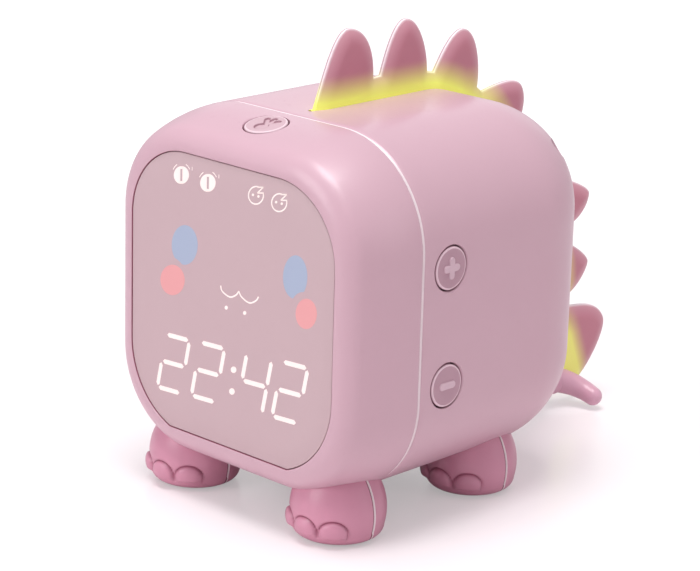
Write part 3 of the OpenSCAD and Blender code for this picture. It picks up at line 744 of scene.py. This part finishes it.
def sides_of(rising, falling):
    """A fin's two sides, each given by its four guide points, from its foot up to its tip."""
    shares = np.linspace(0, 1, ROWS + 1)
    return tuple(np.array([bend(*guides, t) for t in shares]) for guides in (rising, falling))


def fin_sides(k):
    """The two sides of one of the crest's fins."""
    along = (fin_valleys[k + 1] - fin_valleys[k]) / np.linalg.norm(fin_valleys[k + 1] - fin_valleys[k])
    start = fin_valleys[k] + along * valley_half
    end = fin_valleys[k + 1] - along * valley_half
    tip = fin_tips[k]
    out = tip - (start + end) / 2
    over = np.array([out[1], -out[0]]) / np.linalg.norm(out) * np.linalg.norm(end - start) * fin_blunt[k]
    rising = (start, start + (tip - start + out) * 0.25, tip - over * 0.22, tip)
    falling = (end, end + (tip - end) * 0.04 + out * 0.47, tip + over * 0.26, tip)
    return sides_of(rising, falling)


def crest_fins():
    return [fin_sides(k) for k in range(len(fin_tips))]


def tail_fin_sides():
    tip = np.array([107.5, 23.4])
    rising = (np.array(guide) for guide in (tail_fin_foot, (92, 29.4), (103.5, 31)))
    falling = (np.array(guide) for guide in ((96.5, 6.3), (103, 10.5), (109.3, 19.8)))
    return sides_of((*rising, tip), (*falling, tip))


def pillow(outline, points):
    """Half the plate's thickness at points, nothing on the outline, and how far they are from it."""
    starts, ends = outline[:-1], outline[1:]
    runs = ends - starts
    lengths = np.maximum((runs**2).sum(axis=1), 1e-9)
    offset = points[:, None, :] - starts[None]
    share = np.clip((offset * runs[None]).sum(axis=2) / lengths[None], 0, 1)
    far = np.linalg.norm(offset - share[..., None] * runs[None], axis=2).min(axis=1)
    rim, rim_half = 0.4, 0.36 * crest_half
    near = np.clip(far / rim, 0, 1)
    rounded = np.clip((far - rim) / (swell - rim), 0, 1)
    first = rim_half * np.sqrt(1 - (1 - near) ** 2)
    return np.where(far < rim, first, rim_half + (crest_half - rim_half) * np.sin(rounded * math.pi / 2)), far


def plate_patch(outline, rows, close_last=False):
    """Both faces of a plate over rows of (y, z) points."""
    rows = np.asarray(rows, float)
    half = pillow(outline, rows.reshape(-1, 2))[0].reshape(rows.shape[:2])
    if close_last:
        half[-1] = 0
    sides = [np.stack([side * half, rows[..., 0], rows[..., 1]], axis=2) for side in (-1, 1)]
    return [warp(side, round_rows=False) for side in sides]


def even(path, count):
    """count points spaced evenly along a path."""
    path = np.asarray(path, float)
    run = np.concatenate([[0], np.cumsum(np.linalg.norm(np.diff(path, axis=0), axis=1))])
    at = np.linspace(0, run[-1], count)
    return np.stack([np.interp(at, run, path[:, i]) for i in (0, 1)], axis=1)


def fin_rows(rising, falling):
    """Rows of points from a fin's foot to its tip, closer together near its sides."""
    shares = (0.5 - 0.5 * np.cos(np.linspace(0, math.pi, COLUMNS + 1)))[None, :, None]
    return rising[:, None, :] * (1 - shares) + falling[:, None, :] * shares


def plate_of(fins, root):
    """A plate from its fins' (rising, falling) sides and its root line."""
    outline = [fins[0][0][0] - np.array([valley_half, 0.0])]
    top = [outline[0]]
    for k, (rising, falling) in enumerate(fins):
        outline += list(rising) + list(falling[::-1][1:])
        foot = fin_rows(rising[:1], falling[:1])[0]
        if k:
            share = np.linspace(0, 1, 6)[1:-1, None]
            top += list(top[-1] * (1 - share) + foot[0] * share)
        top += list(foot)
    outline = np.array(outline)
    top = np.array(top)
    low = even(root, len(top))
    parts = []
    for rising, falling in fins:
        parts += plate_patch(outline, fin_rows(rising, falling))
    depth = np.array([0, 0.04, 0.1, 0.2, 0.35, 0.55, 0.8, 1.0])[:, None, None]
    parts += plate_patch(outline, top[None] * (1 - depth) + low[None] * depth, close_last=True)
    whole = joined(parts)
    bmesh.ops.remove_doubles(whole, verts=whole.verts, dist=0.002)
    return whole


def crest():
    root_r = rear_r - crest_root
    arc_y, arc_z = half_d - rear_r, body_top - rear_r
    root = [[crest_front_y + 1.2, body_top - crest_root]]
    for turn in np.radians(np.linspace(0, 46, 12)):
        root.append([arc_y + root_r * math.sin(turn), arc_z + root_r * math.cos(turn)])
    root += [[y - 2.5, ridge(y) - 3.5] for y in (57, 63, 69, 74, 77.5)] + [[79.3, crest_low_z]]
    return plate_of(crest_fins(), root)


def tail_fin():
    return plate_of([tail_fin_sides()], [[78.8, 31.0], [78, 18], [80, 8], [88, 4.6]])


def above_valleys(y, z):
    """How far a point of the crest stands outside the line through the fins' valleys, negative below it."""
    nearest, outside = 1e9, 0.0
    for start, end in zip(fin_valleys, fin_valleys[1:]):
        run_y, run_z = end - start
        long = math.hypot(run_y, run_z)
        off_y, off_z = y - start[0], z - start[1]
        share = limited((off_y * run_y + off_z * run_z) / long**2)
        far = math.hypot(off_y - share * run_y, off_z - share * run_z)
        if far < nearest:
            nearest, outside = far, (off_z * run_y - off_y * run_z) / long
    return outside


def above_body(y, z):
    """Height of a point of the crest above the rear shell's skin."""
    arc_y, arc_z = half_d - rear_r, body_top - rear_r
    if y > arc_y and z > arc_z:
        return math.hypot(y - arc_y, z - arc_z) - rear_r
    return max(z - body_top, y - half_d)


def crest_glow(x, y, z):
    """The glow fades with height over the body in front, and over the line through the valleys behind."""
    reach = 7.2 + 4.5 * limited((y - 38) / 12)
    by_body = limited(1.2 - above_body(y, z) / reach) ** 1.4
    by_valleys = 0.65 * limited(1.0 - above_valleys(y, z) / 6.5)
    share = limited((y - 44) / 12)
    return by_body * (1 - share) + by_valleys * share


def tail_fin_glow(x, y, z):
    """The glow fades outwards from the fin's root and towards its upper end."""
    foot_y, foot_z = tail_fin_foot
    far = (y - foot_y) * 0.93 + (z - foot_z) * 0.37
    low = limited((32 - z) / 10)
    return 0.75 * low * limited(1 - far / 5.5) ** 1.4


def add_edge(obj, fins):
    """Marks how near each vertex of a plate is to the outer edge of its fins."""
    line = np.concatenate([np.concatenate([rising, falling[::-1]]) for rising, falling in fins])
    ys = np.array([(v.co.y - middle_y) / MM for v in obj.data.vertices])
    zs = np.array([v.co.z / MM for v in obj.data.vertices])
    far = pillow(line, np.stack([ys, zs], axis=1))[1]
    edge = obj.data.attributes.new("edge", "FLOAT", "POINT")
    edge.data.foreach_set("value", np.clip(1 - far / swell, 0, 1))


# ---- tail
def tail_half_width(t):
    return 15 * max(0.0, 1 - t**2.6) ** 0.55


def tail_floor(y):
    return 4.5 + 12 * max(0.0, (tail_from + tail_long - y) / tail_long) ** 1.3


TAIL_SIDES = 96
root_start, root_end, root_rows = 0.06, 0.96, 32
root_square = 0.87
tip_path = np.array([[0, 84, 8.1], [0.6, 86.4, 7.9], [3.8, 89.6, 6.6], [7.4, 91.2, 5.2], [10.6, 91.5, 4.1]])
tip_radii = [4.3, 3.9, 3.4, 3.0, 2.8]


def oval_ring(y, low, top, wide, square):
    """An upright ring; square is 1 for an oval, and less for one with fuller corners."""
    turn = circle_turns(TAIL_SIDES)
    c, v = np.cos(turn), np.sin(turn)
    across = wide * np.sign(c) * np.abs(c) ** square
    up = (top + low) / 2 + (top - low) / 2 * np.sign(v) * np.abs(v) ** square
    return np.stack([across, np.full(TAIL_SIDES, y), up], axis=1)


def round_ring(centre, direction, radius):
    across = np.cross(direction, [0, 0, 1])
    across = across / np.linalg.norm(across)
    over = np.cross(across, direction)
    turn = circle_turns(TAIL_SIDES)[:, None]
    return centre + radius * (across * np.cos(turn) + over * np.sin(turn))


def root_rings():
    """Rings of the tail's root, closer together towards its end."""
    rings = []
    for k in range(root_rows):
        t = root_start + (root_end - root_start) * math.sin(math.pi / 2 * k / (root_rows - 1))
        y = tail_from + tail_long * t
        rings.append(oval_ring(y, tail_floor(y), ridge(y), tail_half_width(t), root_square))
    return rings


def neck_rings():
    """Rings that lead from the root's end to the round tip."""
    end_y = tail_from + tail_long * root_end
    end_top, end_low, end_wide = ridge(end_y), tail_floor(end_y), tail_half_width(root_end)
    neck_r = tip_radii[0]
    start_y, start_z = tip_path[0][1:]
    rings = []
    for f in np.linspace(0, 1, 10)[1:-1]:
        top = start_z + neck_r + (end_top - start_z - neck_r) * (1 - f) ** 2
        low = end_low * (1 - f) + (start_z - neck_r) * f
        wide = end_wide * (1 - f) + neck_r * f
        square = root_square + (1 - root_square) * f
        rings.append(oval_ring(end_y + (start_y - end_y) * f, low, top, wide, square))
    return rings


def tip_rings():
    """Rings along the curled tip and over its round end."""
    line = curve(tip_path, 8)
    radii = np.interp(np.linspace(0, 4, len(line)), range(5), tip_radii)
    ways = np.gradient(line, axis=0)
    ways = ways / np.linalg.norm(ways, axis=1, keepdims=True)
    rings = [round_ring(p, w, r) for p, w, r in zip(line[1:], ways[1:], radii[1:])]
    for turn in np.linspace(0, math.pi / 2, 9)[1:]:
        r = max(1e-6, radii[-1] * math.cos(turn))
        rings.append(round_ring(line[-1] + ways[-1] * radii[-1] * math.sin(turn), ways[-1], r))
    rings[-1][:] = rings[-1].mean(axis=0)
    return rings


def tail():
    rows = np.array(root_rings() + neck_rings() + tip_rings())
    centre = rows[0].mean(axis=0)
    cap = [centre + (rows[0] - centre) * share for share in (0, 0.3, 0.6, 0.85)]
    rows = np.concatenate([cap, rows])
    # the root goes only a little way into the rear shell
    for point in rows[:30].reshape(-1, 3):
        point[1] = max(point[1], back_at(point[0], point[2]) - 0.25)
    return warp(rows)


# ---- feet
barrel_r, barrel_z, sole_r, foot_low = 16, 7.5, 3, 0.5
toe_pitch, toe_z, toe_wide, toe_tall, toe_out, toe_groove_deep = 38.5, 4.2, 3.9, 3.4, 1.3, 0.3
seam_deep, seam_lead = 0.4, 0.25
bend_z, foot_top, into_body = 9.0, 22.0, 0.9


def barrel_at(z):
    return foot_r - barrel_r + math.sqrt(barrel_r**2 - (z - barrel_z) ** 2)


def toe_reaches(turn, z):
    """How far out from each toe's middle this direction and height are; 1 is the toe's edge."""
    reaches = []
    for k in (-1, 0, 1):
        way = math.radians(k * toe_pitch) - math.pi / 2
        off = (turn - way + math.pi) % (2 * math.pi) - math.pi
        reaches.append(math.hypot(off * foot_r / toe_wide, (z - toe_z) / toe_tall))
    return reaches


def groove_at(reach):
    """Depth of the groove round a toe, 1 in its middle."""
    return math.exp(-(((reach - 1.05) / 0.07) ** 2))


def foot_radius(turn, z):
    """Radius of a foot in this direction and at this height, with its toes and the grooves round them."""
    r = barrel_at(z)
    for reach in toe_reaches(turn, z):
        r += toe_out * math.sqrt(max(0.0, 1 - reach * reach)) - toe_groove_deep * groove_at(reach)
    behind = r * math.sin(turn) - foot_seam
    if behind > 0:
        return r - max(0.0, seam_deep - behind)
    return r - seam_deep * max(0.0, 1 + behind / seam_lead)


def toe_groove_shade(x, y, z):
    """Painted shade in the grooves round the toes of any foot: how deep in a groove a point is; the grooves
    fade towards the table.
    """
    foot_y = foot_ys["front"] if y < -10 else foot_ys["rear"]
    turn = math.atan2(y - foot_y, x - math.copysign(foot_x, x))
    deepest = max(groove_at(reach) for reach in toe_reaches(turn, z))
    return deepest * min(1.0, max(0.15, 0.5 + (z - toe_z) / toe_tall))


def whole_foot(side, y):
    near_seam = np.radians(np.linspace(-3, 6, 46))
    every = np.concatenate([circle_turns(180), near_seam, math.pi - near_seam])
    turns = np.unique(np.round(np.mod(every, 2 * math.pi), 6))
    x = side * foot_x
    sole_z = foot_low + sole_r
    low_r = barrel_at(sole_z) - sole_r
    sole = [(low_r * share, foot_low) for share in (0, 0.5, 1)]
    for turn in np.linspace(0, math.pi / 2, 8)[1:-1]:
        sole.append((low_r + sole_r * math.sin(turn), sole_z - sole_r * math.cos(turn)))
    rows = [[spot] * len(turns) for spot in sole]
    bodies = [underside(x + foot_r * math.cos(t), y + foot_r * math.sin(t)) for t in turns]
    tops = [min(foot_top, body + into_body) for body in bodies]
    # three quarters of the rows are below the bend, where the toes are
    for share in np.linspace(0, 1, 56):
        heights = [sole_z + (min(top, bend_z) - sole_z) * min(1.0, share / 0.75) for top in tops]
        if share > 0.75:
            heights = [h + (top - h) * (share - 0.75) / 0.25 for h, top in zip(heights, tops)]
        rows.append([(foot_radius(t, h), h) for t, h in zip(turns, heights)])
    rows.append([(r * 0.5, h) for r, h in rows[-1]])
    rows.append([(0, float(np.mean(tops)))] * len(turns))
    round_foot = [(math.cos(t), math.sin(t)) for t in turns]
    return warp([[(x + r * c, y + r * v, z) for (r, z), (c, v) in zip(row, round_foot)] for row in rows])


def part_of_foot(side, y, behind):
    """The part before or behind the foot's seam."""
    bm = whole_foot(side, y)
    cut_y = y + foot_seam + (0.02 if behind else -0.02)
    bmesh.ops.bisect_plane(
        bm,
        geom=list(bm.verts) + list(bm.edges) + list(bm.faces),
        plane_co=(0, cut_y, 0),
        plane_no=(0, -1 if behind else 1, 0),
        clear_outer=True,
    )
    bmesh.ops.holes_fill(bm, edges=[e for e in bm.edges if e.is_boundary])
    return bm


# ---- buttons
def capsule(x, y, ax, ay, bx, by, r):
    """Distance from (x, y) to a rounded bar, negative inside it."""
    dx, dy = bx - ax, by - ay
    t = limited(((x - ax) * dx + (y - ay) * dy) / max(1e-9, dx * dx + dy * dy))
    return math.hypot(x - ax - t * dx, y - ay - t * dy) - r


def minus_mark(x, y):
    return capsule(x, y, 0, -2, 0, 2, 0.95)


def plus_mark(x, y):
    return min(minus_mark(x, y), minus_mark(y, x))


def ring_on_cap(x, y):
    return abs(math.hypot(x, y) - 2.2) - 0.6


def dot_mark(x, y):
    return math.hypot(x, y) - 1.6


def footprint(x, y):
    """A plain footprint with three toes."""
    toes = []
    for turn in (-38, 0, 38):
        a = math.radians(turn)
        toes.append(capsule(x, y, 0, 0, -3.3 * math.sin(a), 3.3 * math.cos(a), 0.7))
    return min(toes + [math.hypot(x, y + 1.7) - 1.9])


peg_r, flange_r, cap_rim = 1.6, cap_r + 1.1, 0.4
peg_low, flange_low, flange_top = -4.8, -3.8, -2.8
mark_fade = 0.2


def button(place, mark, height):
    """A round cap with a softened rim and a raised or sunk mark."""
    top_r = cap_r - cap_rim
    profile = [(0, peg_low), (peg_r, peg_low), (peg_r, flange_low), (flange_r, flange_low)]
    profile += [(flange_r, flange_top), (cap_r, flange_top), (cap_r, -cap_rim)]
    for turn in np.linspace(0, math.pi / 2, 6)[1:]:
        profile.append((top_r + cap_rim * math.cos(turn), -cap_rim + cap_rim * math.sin(turn)))
    profile += [(r, 0.0) for r in np.linspace(top_r, 0, 70)[1:]]
    bm = turned(profile, 144)
    marks_of = bm.verts.layers.float.new("mark")
    rim_highlights_of = bm.verts.layers.float.new("rim")
    for vertex in bm.verts:
        x, y, z = vertex.co
        far = math.hypot(x, y)
        if z > -0.01 and far < top_r:
            outside = mark(x, y)
            inside = limited(0.5 - outside / mark_fade)
            # a raised mark is tinted all over as a painted highlight, and a sunk one along its edge as
            # painted shade
            vertex[marks_of] = inside if height > 0 else max(0.0, 1 - abs(outside) / 0.3)
            vertex.co.z = z + height * inside * inside * (3 - 2 * inside)
        # the rim is marked for a painted highlight
        vertex[rim_highlights_of] = 1.0 if z > -0.3 and far > cap_r - 0.5 else 0.0
    bm.transform(place)
    return bm


gap_corner_r = 19.6


def window_gap_shade(x, y, z):
    """1 on the walls of the gap round the display's window, where the shell gets painted shade."""
    across, up = abs(x), abs(z - mid_z)
    corner = math.hypot(max(0, across - half_w + corner_r), max(0, up - half_h + corner_r))
    near = across < window_half_w + 0.3 and up < window_half_h + 0.4 and corner < gap_corner_r
    return 1.0 if near and 0.1 < half_d + y < wall + 0.1 else 0.0


# ---- building
crest_material = crest_paint()
digit_paint = lit_paint("lit_digits", srgb(244, 232, 228), 0.14)
eye_paint = lit_paint("lit_eyes", srgb(163, 176, 200), 0.03)
cheek_paint = lit_paint("lit_cheeks", srgb(226, 158, 160), 0.05)

# the gap field marks where the shell gets painted shade
piece("front_shell_skin", front_shell(), shell_paint, ["front_shell"], fields={"gap": window_gap_shade})
piece("rear_shell_skin", rear_shell(), shell_paint, ["rear_shell"])
piece("display_panel", display_window(), window_paint, ["display_window"])

digit_xs = {-21.1: 2, -7.65: 2, 9.9: 4, 22.9: 2}
bars = [outline for x, number in digit_xs.items() for outline in digit(number, x)]
colon_x, colon_z = 1.85, 38.75
colon = [oval(colon_x + 0.25 * level, colon_z + 3.05 * level, 1.05, 0.9, 24) for level in (-1, 1)]
piece("digits", marks(bars + colon), digit_paint)
smile = [(-3.2, 63.5), (-2.6, 62.1), (0.2, 61.2), (2.5, 62.2), (3.6, 63.5)]
grin = [(3.6, 63.5), (4.7, 62.2), (7.5, 61.3), (9.9, 62.4), (10.9, 63.7)]
dots = [oval(-1.0, 58.0, 0.6, 0.55, 16), oval(5.9, 58.2, 0.6, 0.55, 16)]
piece("mouth", marks([stroke(curve(smile), 0.42), stroke(curve(grin), 0.42)] + dots), digit_paint)
piece("icons", icon_marks(), digit_paint)
left_cheek, right_cheek = (-21.7, 60.8), (28.1, 63.2)
eyes = [bitten(-17.1, 71.4, 5.0, 5.4, (*left_cheek, 6.3)), bitten(23.9, 71.9, 4.3, 5.7, (*right_cheek, 5.6))]
piece("eyes", marks(eyes), eye_paint)
piece("cheeks", marks([oval(*left_cheek, 4.75, 4.2), oval(*right_cheek, 3.75, 4.0)]), cheek_paint)

crest_obj = piece("crest_plate", crest(), crest_material, ["crest"], fields={"glow": crest_glow})
add_edge(crest_obj, crest_fins())
glow = {"glow": tail_fin_glow}
tail_fin_obj = piece("tail_fin_plate", tail_fin(), crest_material, ["tail_fin"], fields=glow)
add_edge(tail_fin_obj, [tail_fin_sides()])

piece("tail_skin", tail(), tail_paint, ["tail"], sharp=50)

# the groove field carries the toes' painted shade
groove = {"groove": toe_groove_shade}
for end, y in foot_ys.items():
    for hand, side in (("right", 1), ("left", -1)):
        for word, behind in (("foot", False), ("heel", True)):
            node = f"{end}_{hand}_{word}"
            part = part_of_foot(side, y, behind)
            piece(node + "_skin", part, foot_paint, [node], sharp=40, fields=groove)

raised, sunk = 0.4, -0.45
buttons = {
    "snooze": (on_top(), footprint, sunk),
    "plus": (on_side(1, upper_button_z), plus_mark, raised),
    "minus": (on_side(1, lower_button_z), minus_mark, raised),
    "mode": (on_side(-1, upper_button_z), ring_on_cap, raised),
    "set": (on_side(-1, lower_button_z), dot_mark, raised),
}
for word, shape in buttons.items():
    cap_paint = snooze_paint if word == "snooze" else button_paint
    piece(word + "_cap", button(*shape), cap_paint, [word + "_button"], word + "_key", sharp=55)

# ---- the nodes that stay as they are
switch_ends = ("top", "right", "left")
# a material's name, its fresh and worn colours, its finish and the nodes that wear it
inner_finishes = [
    ("rubber_pad", (190, 184, 184), (170, 165, 165), {"rough": 0.8, "bump": 0.2}, ["foot_pads"]),
    ("diffuser_film", (232, 214, 216), (222, 204, 206), {"rough": 0.6}, ["face_film"]),
    ("black_mask", (28, 28, 30), (44, 44, 46), {"rough": 0.6, "bump": 0.1}, ["segment_mask"]),
    ("light_guides", (240, 238, 232), (226, 224, 216), {"rough": 0.3}, ["segment_bars"]),
    (
        "green_board", (24, 84, 52), (44, 104, 64), {"rough": 0.4, "mottle": 300},
        ["display_board", "main_board", "usb_board"] + [end + "_switch_board" for end in switch_ends],
    ),
    (
        "white_board", (236, 236, 232), (220, 220, 214), {"rough": 0.4, "mottle": 300},
        ["crest_light_board", "tail_light_board"],
    ),
    ("led_lens", (244, 232, 170), (236, 220, 150), {"rough": 0.25}, ["crest_leds", "display_leds"]),
    ("chip_resin", (38, 38, 40), (58, 58, 60), {"rough": 0.55}, ["main_board_chips"]),
    ("capacitor_sleeve", (36, 40, 84), (54, 58, 100), {"rough": 0.35}, ["capacitors"]),
    (
        "brushed_steel", (190, 190, 192), (160, 160, 164), {"rough": 0.3, "metallic": 1.0, "grain": 2600},
        ["speaker_frame", "speaker_magnet", "usb_inlet", "shell_screws", "board_screws", "tact_switches"],
    ),
    (
        "dark_plastic", (50, 50, 54), (70, 70, 74), {"rough": 0.5, "bump": 0.1},
        ["speaker_cone", "battery_cradle"] + [word + "_plunger" for word in buttons],
    ),
    ("cell_wrap", (92, 150, 120), (80, 136, 108), {"rough": 0.3}, ["battery_cell"]),
    ("wire_sleeve", (178, 40, 40), (150, 34, 34), {"rough": 0.45}, ["battery_wires", "speaker_wires"]),
    ("ribbon_film", (228, 226, 220), (206, 204, 196), {"rough": 0.4}, ["display_ribbon"]),
]
for name, fresh, worn, finish, nodes in inner_finishes:
    paint = simple(name, srgb(*fresh), srgb(*worn), **finish)
    for slot in [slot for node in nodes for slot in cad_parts[node].material_slots]:
        slot.material = paint

# ---- floor, light and camera
floor = Paint(bpy.data.materials.new("floor_paper"))
fibre = floor.noise(60, 3.0)
paper = floor.mix(fibre * 0.2, (0.92, 0.84, 0.87), (0.9, 0.82, 0.85))
floor.set(base_color=paper, roughness=0.18 + fibre * 0.1, specular_ior_level=0.5)
# the camera sees the floor turn to plain white away from the object
away = floor.node("ShaderNodeVectorMath", {"operation": "LENGTH"}, {0: floor.place}, "Value").over(0.11, 0.36)
camera_sees = floor.node("ShaderNodeLightPath", {}, {}, "Is Camera Ray")
bright = floor.node("ShaderNodeEmission", {}, {"Color": (1, 1, 1, 1), "Strength": 1.15})
floor.cover(camera_sees * (0.3 + away * 0.7), bright, "Material Output")
sheet = bmesh.new()
bmesh.ops.create_grid(sheet, x_segments=8, y_segments=8, size=4)
floor_mesh = bpy.data.meshes.new("floor")
sheet.to_mesh(floor_mesh)
sheet.free()
floor_mesh.materials.append(floor.owner)
in_scene("floor", floor_mesh)


def softbox(name, place, width, height, power):
    """A rectangular lamp that points at the middle of the object."""
    light = bpy.data.lights.new(name, "AREA")
    light.shape = "RECTANGLE"
    light.size, light.size_y = width, height
    light.energy = power
    obj = in_scene(name, light)
    obj.location = place
    obj.rotation_mode = "QUATERNION"
    obj.rotation_quaternion = (Vector((0, 0, 0.06)) - Vector(place)).to_track_quat("-Z", "Y")


softbox("top_box", (0.1, -0.2, 1.3), 0.6, 0.6, 13)
softbox("front_box", (-0.4, -1.3, 0.6), 0.7, 0.7, 6)
softbox("back_box", (-0.9, 1.3, 0.55), 1.2, 0.8, 1.5)
softbox("side_box", (1.3, 0.5, 0.5), 0.5, 0.8, 0.8)

# a grey studio, which the camera sees as white
studio = Paint(bpy.data.worlds.new("studio"), "Background")
bpy.context.scene.world = studio.owner
studio.set(color=(0.5, 0.49, 0.5, 1))
white = studio.node("ShaderNodeBackground", {}, {"Color": (1, 1, 1, 1)})
studio.cover(studio.node("ShaderNodeLightPath", {}, {}, "Is Camera Ray"), white, "World Output")

# the camera fitted to the photograph: it looks along -back, from its place in metres
azimuth, elevation, roll = (math.radians(a) for a in (43.504, 16.734, 1.635))
camera_place = (0.46314, -0.521395, 0.25756)
level = math.cos(elevation)
back = Vector((math.sin(azimuth) * level, -math.cos(azimuth) * level, math.sin(elevation)))
right = Vector((math.cos(azimuth), math.sin(azimuth), 0))
up = back.cross(right)
turned_right = right * math.cos(roll) + up * math.sin(roll)
turned_up = up * math.cos(roll) - right * math.sin(roll)
lens = bpy.data.cameras.new("camera")
lens.sensor_width = 36
lens.lens = 133.10
camera = in_scene("camera", lens)
facing = Matrix((turned_right, turned_up, back)).transposed().to_4x4()
camera.matrix_world = Matrix.Translation(camera_place) @ facing
bpy.context.scene.camera = camera
bpy.context.scene.view_settings.view_transform = "Standard"
